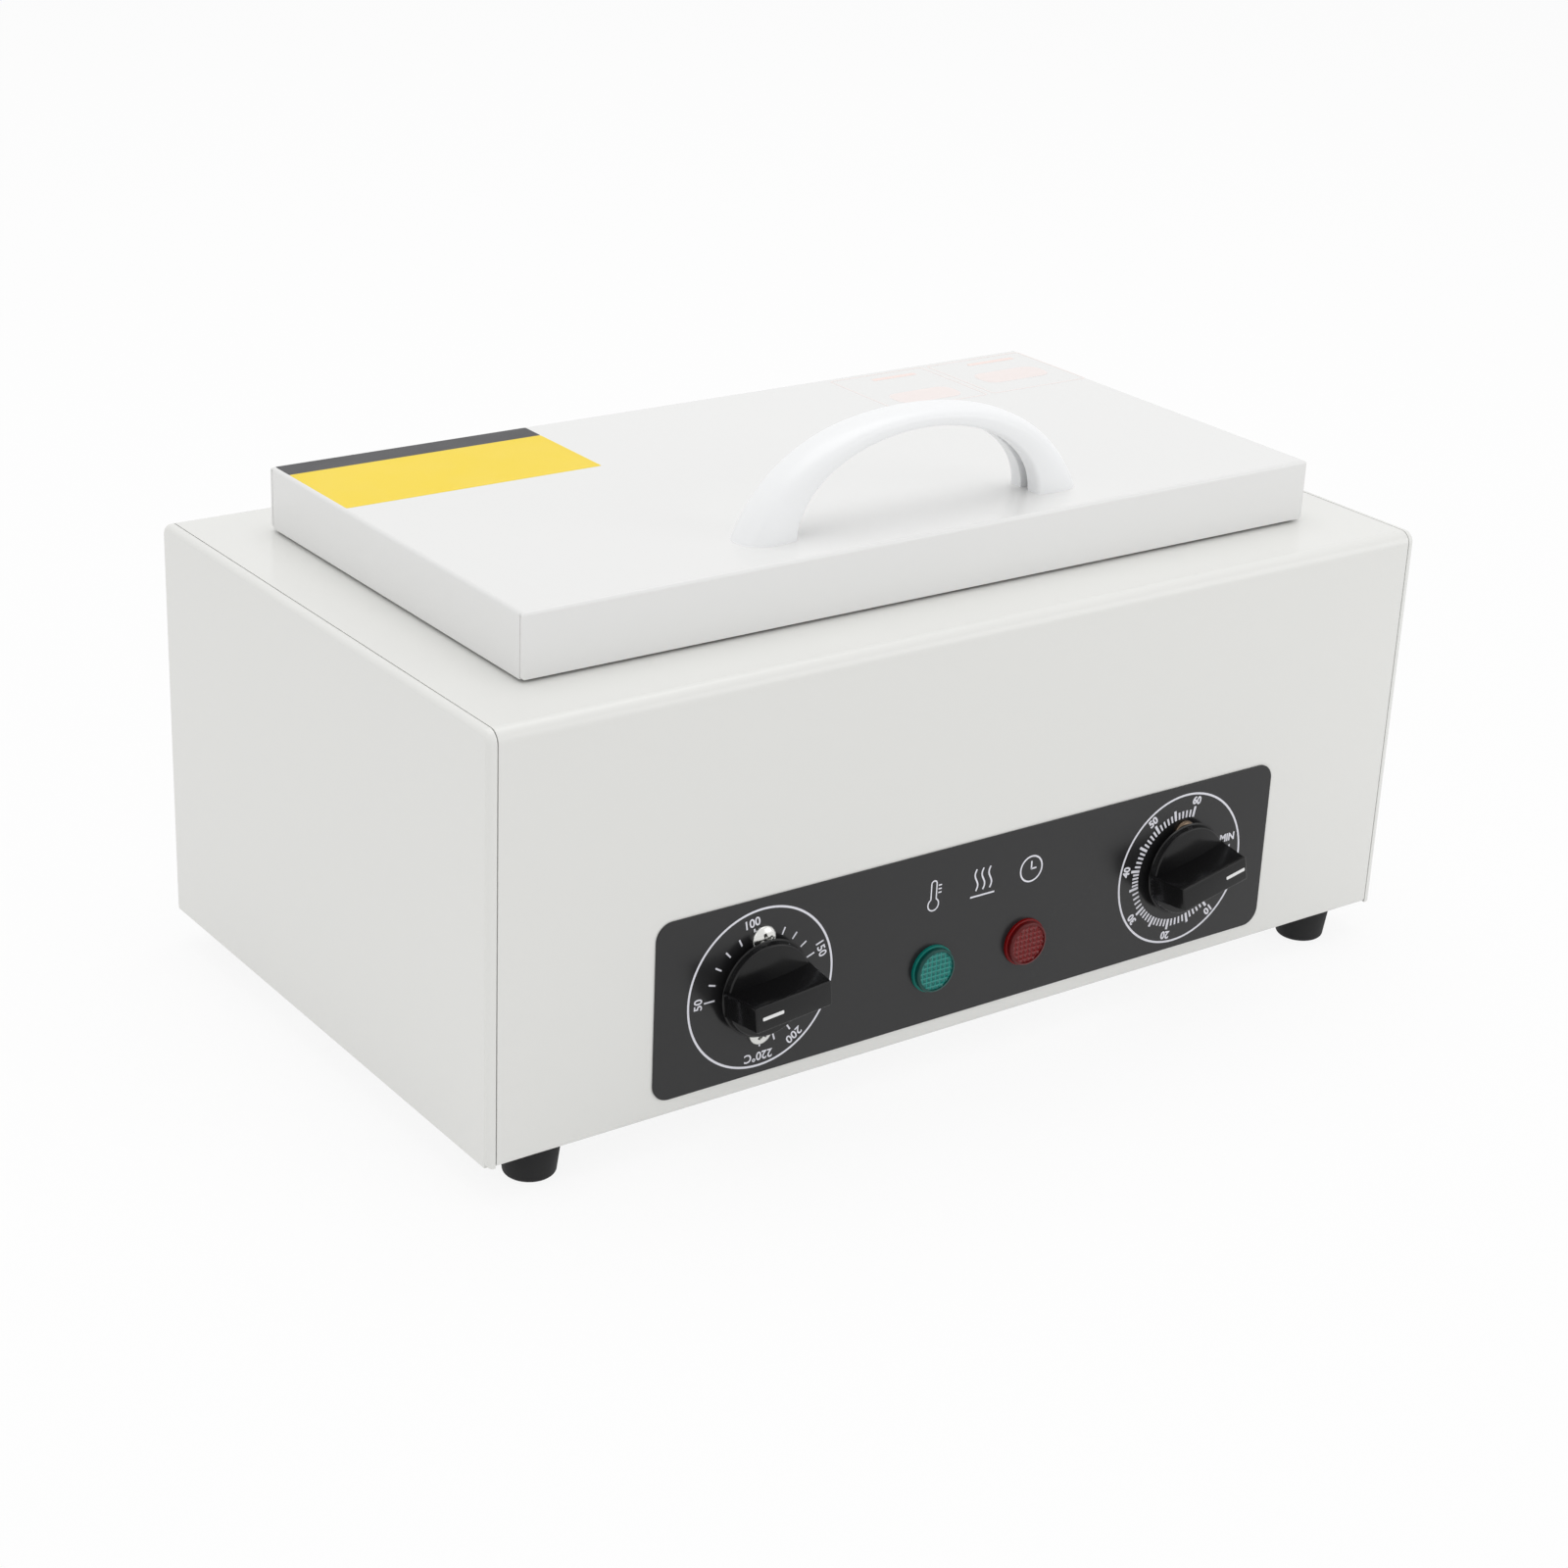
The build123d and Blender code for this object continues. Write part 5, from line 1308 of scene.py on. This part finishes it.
@dataclass
class PanScrews(PanelPiece):
    """The two cross-recess screws that hold what is behind a dial.

    Attributes:
        metal: Their finish.
        spacing: How far apart they stand.
        turns_deg: How far each cross is turned, the upper one first.
        radius: A head's radius.
        height: A head's height.
        edge_share: Where a head's dome starts, as a share of its height.
        recess: How deep the cross is.
        arm: How far the cross reaches.
        slit: Half the width of its arms at their ends, nearly.
        taper: How far the cross's ends slope up.
        bevel: How far its sides slope in.
        shank: Radius of the shank.
        shank_length: How far the shank reaches in.
        around: Points round the axis.
        steps: Points from the edge to the middle of the dome.
    """

    metal: Finish
    spacing: float
    turns_deg: Pair = (18.0, 52.0)
    radius: float = 3.6
    height: float = 1.88
    edge_share: float = 0.35
    recess: float = 1.15
    arm: float = 2.0
    slit: float = 0.5
    taper: float = 0.9
    bevel: float = 0.16
    shank: float = 2.0
    shank_length: float = 6.0
    around: int = 160
    steps: int = 60

    def head(self, turn_deg: float) -> Object:
        """Make one head: a dome, (1 - radius ** 2.6) ** 0.6, with a tapered cross pressed in.

        Args:
            turn_deg: How far its cross is turned.

        Returns:
            The head with its shank, about its own axis.
        """
        radius = np.linspace(1.0, 0.003, self.steps)
        dome = self.edge_share + (1 - self.edge_share) * (1 - radius ** 2.6) ** 0.6
        profile = np.vstack([[[self.shank, -self.shank_length], [self.shank, 0.0], [self.radius, 0.0]],
                             np.column_stack([radius * self.radius, dome * self.height])])
        flat = profile[:, None, :1] * full_circle(self.around)
        heights = np.repeat(profile[:, 1:], self.around, axis=1)
        out = np.hypot(flat[..., 0], flat[..., 1])
        width = self.slit * (1.25 - 0.35 * np.minimum(out / self.arm, 1))
        side = np.clip((width - np.abs(flat).min(axis=2)) / self.bevel, 0, 1)
        end = np.clip((self.arm - out) / self.taper, 0, 1)
        heights[3:] -= (side * end * self.recess)[3:]
        obj = Surface.loft("head", np.dstack([flat, heights]), 40.0)
        return Surface.place(obj, Matrix.Rotation(math.radians(turn_deg), 4, "Z"))

    def build(self) -> None:
        """Set a head above and below the dial's centre."""
        heads = [Surface.place(finish(self.head(turn), self.metal), Matrix.Translation((0, rise, 0)))
                 for rise, turn in zip((self.spacing / 2, -self.spacing / 2), self.turns_deg)]
        self.fix(heads, AT.shaft_z)


@dataclass
class RubberFoot:
    """A tapered rubber foot with a rounded sole and a sunk screw seat.

    Attributes:
        name: The piece's name.
        node: The CAD node it stands for.
        x: Where it stands.
        y: Where it stands.
        top: Radius under the cabinet.
        sole: Radius at the sole.
        height: Its height.
        rounding: The rounding of the sole's edge.
        recess: Radius of the screw seat.
        recess_depth: How deep the seat is.
        gap: How far its top stays clear of the base plate.
    """

    name: str
    node: str
    x: float
    y: float
    top: float = 8.5
    sole: float = 6.9
    height: float = 10.5
    rounding: float = 1.4
    recess: float = 4.4
    recess_depth: float = 6.0
    gap: float = 0.01

    def build(self) -> None:
        """Turn the foot, its sole's edge a quarter circle, and settle it under the cabinet."""
        lean = (self.top - self.sole) / self.height
        quarter = circle(np.linspace(0, QUARTER, 9))[:, ::-1]
        rounded = self.rounding * (1 - quarter) * [-1, 1] + [self.sole + lean * self.rounding, 0]
        top = self.height - self.gap
        profile = np.vstack([
            [(POLE, self.recess_depth), (self.recess, self.recess_depth), (self.recess, 0.4),
             (self.recess + 0.3, 0.0)], rounded,
            [(self.top - 0.25, self.height - 0.25), (self.top - 0.4, top), (POLE, top)]])
        obj = finish(Surface.lathe(self.name, profile, smooth_deg=40.0), Finish.RUBBER)
        Surface.place(obj, Matrix.Translation((self.x, self.y, 0)))
        settle(obj, Body.CABINET, "foot_rubber", self.node)


# ------------------------------------------------------------------ lid labels


@dataclass(frozen=True)
class Span:
    """A rectangle on the lid, from its left to its right and from its front to its back.

    Attributes:
        left: Its least X.
        right: Its greatest X.
        front: Its least Y.
        back: Its greatest Y.
    """

    left: float
    right: float
    front: float
    back: float

    def outline(self, corner: float, inset: float = 0.0) -> Array:
        """Give its outline with round corners.

        Args:
            corner: The corner radius.
            inset: How far the outline stays inside.

        Returns:
            The points as rows of two numbers.
        """
        half = np.array([self.right - self.left, self.back - self.front]) / 2 - inset
        return rounded_outline(*half, corner) + [(self.left + self.right) / 2, (self.front + self.back) / 2]


@dataclass
class LidLabels:
    """Blank printed fields on the lid: a yellow one with a dark band and a pale pair.

    Attributes:
        thickness: The film's thickness.
        yellow: The yellow field.
        band_back: How far back the dark band behind it reaches.
        pale: Where the fill of each pale label would reach without its margin.
        pale_front: The front of the pale labels' frames.
        pale_back: Their back.
        header: The front and the back of their header lines.
        margin: How far a fill and a header's right end stay inside.
        header_start: How far a header's left end stays inside.
        frame_line: The line width of the frames.
    """

    thickness: float = 0.04
    yellow: Span = Span(-130.6, -50.9, 28.5, 61.2)
    band_back: float = 69.6
    pale: tuple[Span, Span] = (Span(56.5, 92.0, 37.5, 48.0), Span(94.0, 131.0, 43.0, 53.5))
    pale_front: float = 34.0
    pale_back: float = 68.0
    header: Pair = (62.0, 64.0)
    margin: float = 6.0
    header_start: float = 13.0
    frame_line: float = 0.5

    def patch(self, name: str, span: Span, ink: Finish, corner: float = 0.5) -> Object:
        """Lay one flat field.

        Args:
            name: Its name.
            span: Where it lies.
            ink: Its finish.
            corner: Its corner radius.

        Returns:
            The field.
        """
        return finish(Surface.loft(name, slab(span.outline(corner), 0.0, self.thickness)), ink)

    def label(self, span: Span) -> list[Object]:
        """Lay one pale label: a frame, a header line and a fill.

        Args:
            span: Where its fill would reach without its margin.

        Returns:
            Its three parts.
        """
        frame_span = Span(span.left, span.right, self.pale_front, self.pale_back)
        strokes = Strokes(depth=self.thickness)
        strokes.add(frame_span.outline(1.2), frame_span.outline(0.8, self.frame_line))
        header = Span(span.left + self.header_start, span.right - self.margin, *self.header)
        fill = Span(span.left + self.margin, span.right - self.margin, span.front, span.back)
        return [strokes.build(Finish.BLUSH), self.patch("header", header, Finish.PINK),
                self.patch("fill", fill, Finish.BLUSH, 4.0)]

    def build(self) -> None:
        """Lay the labels on the lid."""
        band = Span(self.yellow.left, self.yellow.right, self.yellow.back, self.band_back)
        dark = [self.patch("yellow_field", self.yellow, Finish.YELLOW), self.patch("band", band, Finish.CHARCOAL)]
        pale = [part for span in self.pale for part in self.label(span)]
        for obj in (Surface.join("yellow_field", dark), Surface.join("pale_fields", pale)):
            settle(Surface.place(obj, AT.on_lid()), Body.LID, "lid_paint")


# ------------------------------------------------------------------ studio


@dataclass(frozen=True)
class SoftLight:
    """One soft square light.

    Attributes:
        name: Its name.
        place: Where it hangs, in metres.
        target: The point it is aimed at.
        size: Its side.
        power: Its power in watts.
    """

    name: str
    place: Triple
    target: Triple
    size: float
    power: float

    def build(self) -> None:
        """Hang the light and aim it."""
        data = bpy.data.lights.new(self.name, "AREA")
        data.shape = "SQUARE"
        data.size = self.size
        data.energy = self.power
        obj = link(self.name, data)
        obj.location = self.place
        obj.rotation_mode = "QUATERNION"
        obj.rotation_quaternion = (Vector(self.target) - Vector(self.place)).to_track_quat("-Z", "Y")


@dataclass
class Studio:
    """A plain pale floor, soft light and the camera.

    Attributes:
        eye: The camera's place, in metres.
        axes: The camera's right, down and forward directions.
        lens: The focal length.
        sensor: The sensor's width.
        clip: The nearest and the farthest that the camera sees, in metres.
        world: The strength of the even light.
        floor_half: Half the floor's side, in metres.
        floor_grey: The floor's own colour.
        floor_glow: How far the floor is seen as plain white.
        lights: The soft lights.
    """

    eye: Triple = (-0.499349, -0.671047, 0.407454)
    axes: tuple[Triple, Triple, Triple] = (
        (0.8140701, -0.5793548, 0.0404706), (-0.1978125, -0.342121, -0.9185987),
        (0.5460404, 0.7397981, -0.393114))
    lens: float = 71.3362
    sensor: float = 36.0
    clip: Pair = (0.01, 50.0)
    world: float = 0.70
    floor_half: float = 3.0
    floor_grey: float = 0.93
    floor_glow: float = 0.88
    lights: tuple[SoftLight, ...] = (
        SoftLight("overhead", place=(0.1, 0.2, 1.8), target=(0.0, 0.0, 0.1), size=1.6, power=9.5),
        SoftLight("left_fill", place=(-1.6, -0.3, 0.7), target=(0.0, 0.0, 0.08), size=1.2, power=2.0),
        SoftLight("front_fill", place=(0.8, -1.0, 0.4), target=(0.12, 0.0, 0.05), size=0.7, power=1.9))

    def camera(self) -> None:
        """Set the camera at its place and turn."""
        data = bpy.data.cameras.new("camera")
        data.sensor_width = self.sensor
        data.lens = self.lens
        data.clip_start, data.clip_end = self.clip
        obj = link("camera", data)
        right, down, forward = (Vector(axis) for axis in self.axes)
        turn = Matrix((right, -down, -forward)).transposed().to_4x4()
        obj.matrix_world = Matrix.Translation(self.eye) @ turn
        bpy.context.scene.camera = obj

    @staticmethod
    def seen(graph: Graph) -> Socket:
        """Tell the rays from the camera, and those that gloss and glass send on, from the rest.

        Args:
            graph: The material's or the world's graph.

        Returns:
            The socket that is 1 for those rays and 0 for the rest.
        """
        path = graph.node("ShaderNodeLightPath").outputs
        sent_on = graph.math("MAXIMUM", path["Is Glossy Ray"], path["Is Transmission Ray"])
        return graph.math("MAXIMUM", path["Is Camera Ray"], sent_on)

    def backdrop(self) -> None:
        """Give the world an even light that the camera sees as white."""
        world = bpy.data.worlds.new("studio")
        graph = Graph.of(world)
        strength = graph.remap(self.seen(graph), 0.0, 1.0, self.world, 1.0)
        light = graph.node("ShaderNodeBackground", {"Color": (1, 1, 1, 1), "Strength": strength})
        graph.node("ShaderNodeOutputWorld", {"Surface": light.outputs[0]})
        bpy.context.scene.world = world

    def floor(self) -> None:
        """Lay a pale floor that takes a faint contact shadow."""
        corners = np.array([[-1, -1, 0], [1, -1, 0], [1, 1, 0], [-1, 1, 0]]) * self.floor_half / MM
        obj = Surface.from_faces("floor", corners, [[0, 1, 2, 3]])
        material = bpy.data.materials.new("pale_floor")
        graph = Graph.of(material)
        diffuse = graph.node("ShaderNodeBsdfDiffuse", {"Color": (*[self.floor_grey] * 3, 1)})
        glow = graph.node("ShaderNodeEmission", {"Color": (1, 1, 1, 1), "Strength": 1.0})
        share = graph.math("MULTIPLY", self.seen(graph), self.floor_glow)
        mixed = graph.node("ShaderNodeMixShader", {0: share, 1: diffuse.outputs[0], 2: glow.outputs[0]})
        graph.node("ShaderNodeOutputMaterial", {"Surface": mixed.outputs[0]})
        obj.data.materials.append(material)

    def build(self) -> None:
        """Set up everything that isn't the object."""
        bpy.context.scene.view_settings.view_transform = "Standard"
        self.camera()
        self.backdrop()
        self.floor()
        for light in self.lights:
            light.build()


# ------------------------------------------------------------------ making it


def main() -> None:
    """Dress the nodes, make the pieces and set the studio."""
    logging.basicConfig(level=logging.INFO, format="%(message)s")
    dress_nodes()
    greens = (Finish.GREEN_RING, Finish.GREEN_RIM, Finish.GREEN)
    reds = (Finish.RED_RING, Finish.RED_RIM, Finish.RED)
    pieces = [
        BowHandle(),
        DialKnob("temperature_dial", ("temperature_knob",), "knob_plastic", -AT.dial_x, Body.TEMPERATURE,
                 angle_deg=185.6),
        DialKnob("timer_dial", ("timer_knob",), "knob_plastic", AT.dial_x, Body.TIMER, angle_deg=12.0,
                 pointer=(4.2, 11.1)),
        DialPrint.temperature(),
        DialPrint.timer(),
        PanelMarks("panel_symbols", (), "white_paint", 0.0),
        SignalLamp("green_lamp", ("green_lamp_lens",), "green_lens", -AT.lamp_x, greens),
        SignalLamp("red_lamp", ("red_lamp_lens",), "red_lens", AT.lamp_x, reds),
        PanScrews("steel_screws", ("thermostat_screws",), "bright_steel", -AT.dial_x, Finish.ZINC, spacing=27.2),
        # The timer's screws take the darkened brass: painted shade under the knob's skirt.
        PanScrews("brass_screws", ("timer_screws",), "brass_screw", AT.dial_x, Finish.DARK_BRASS, spacing=21.2),
    ]
    for side, x in (("left", -AT.foot_x), ("right", AT.foot_x)):
        for end, y in zip(("front", "back"), AT.foot_y):
            pieces.append(RubberFoot(f"{end}_{side}_rubber", f"{end}_{side}_foot", x, y))
    for piece in [*pieces, LidLabels(), Studio()]:
        piece.build()


if __name__ == "__main__":
    main()
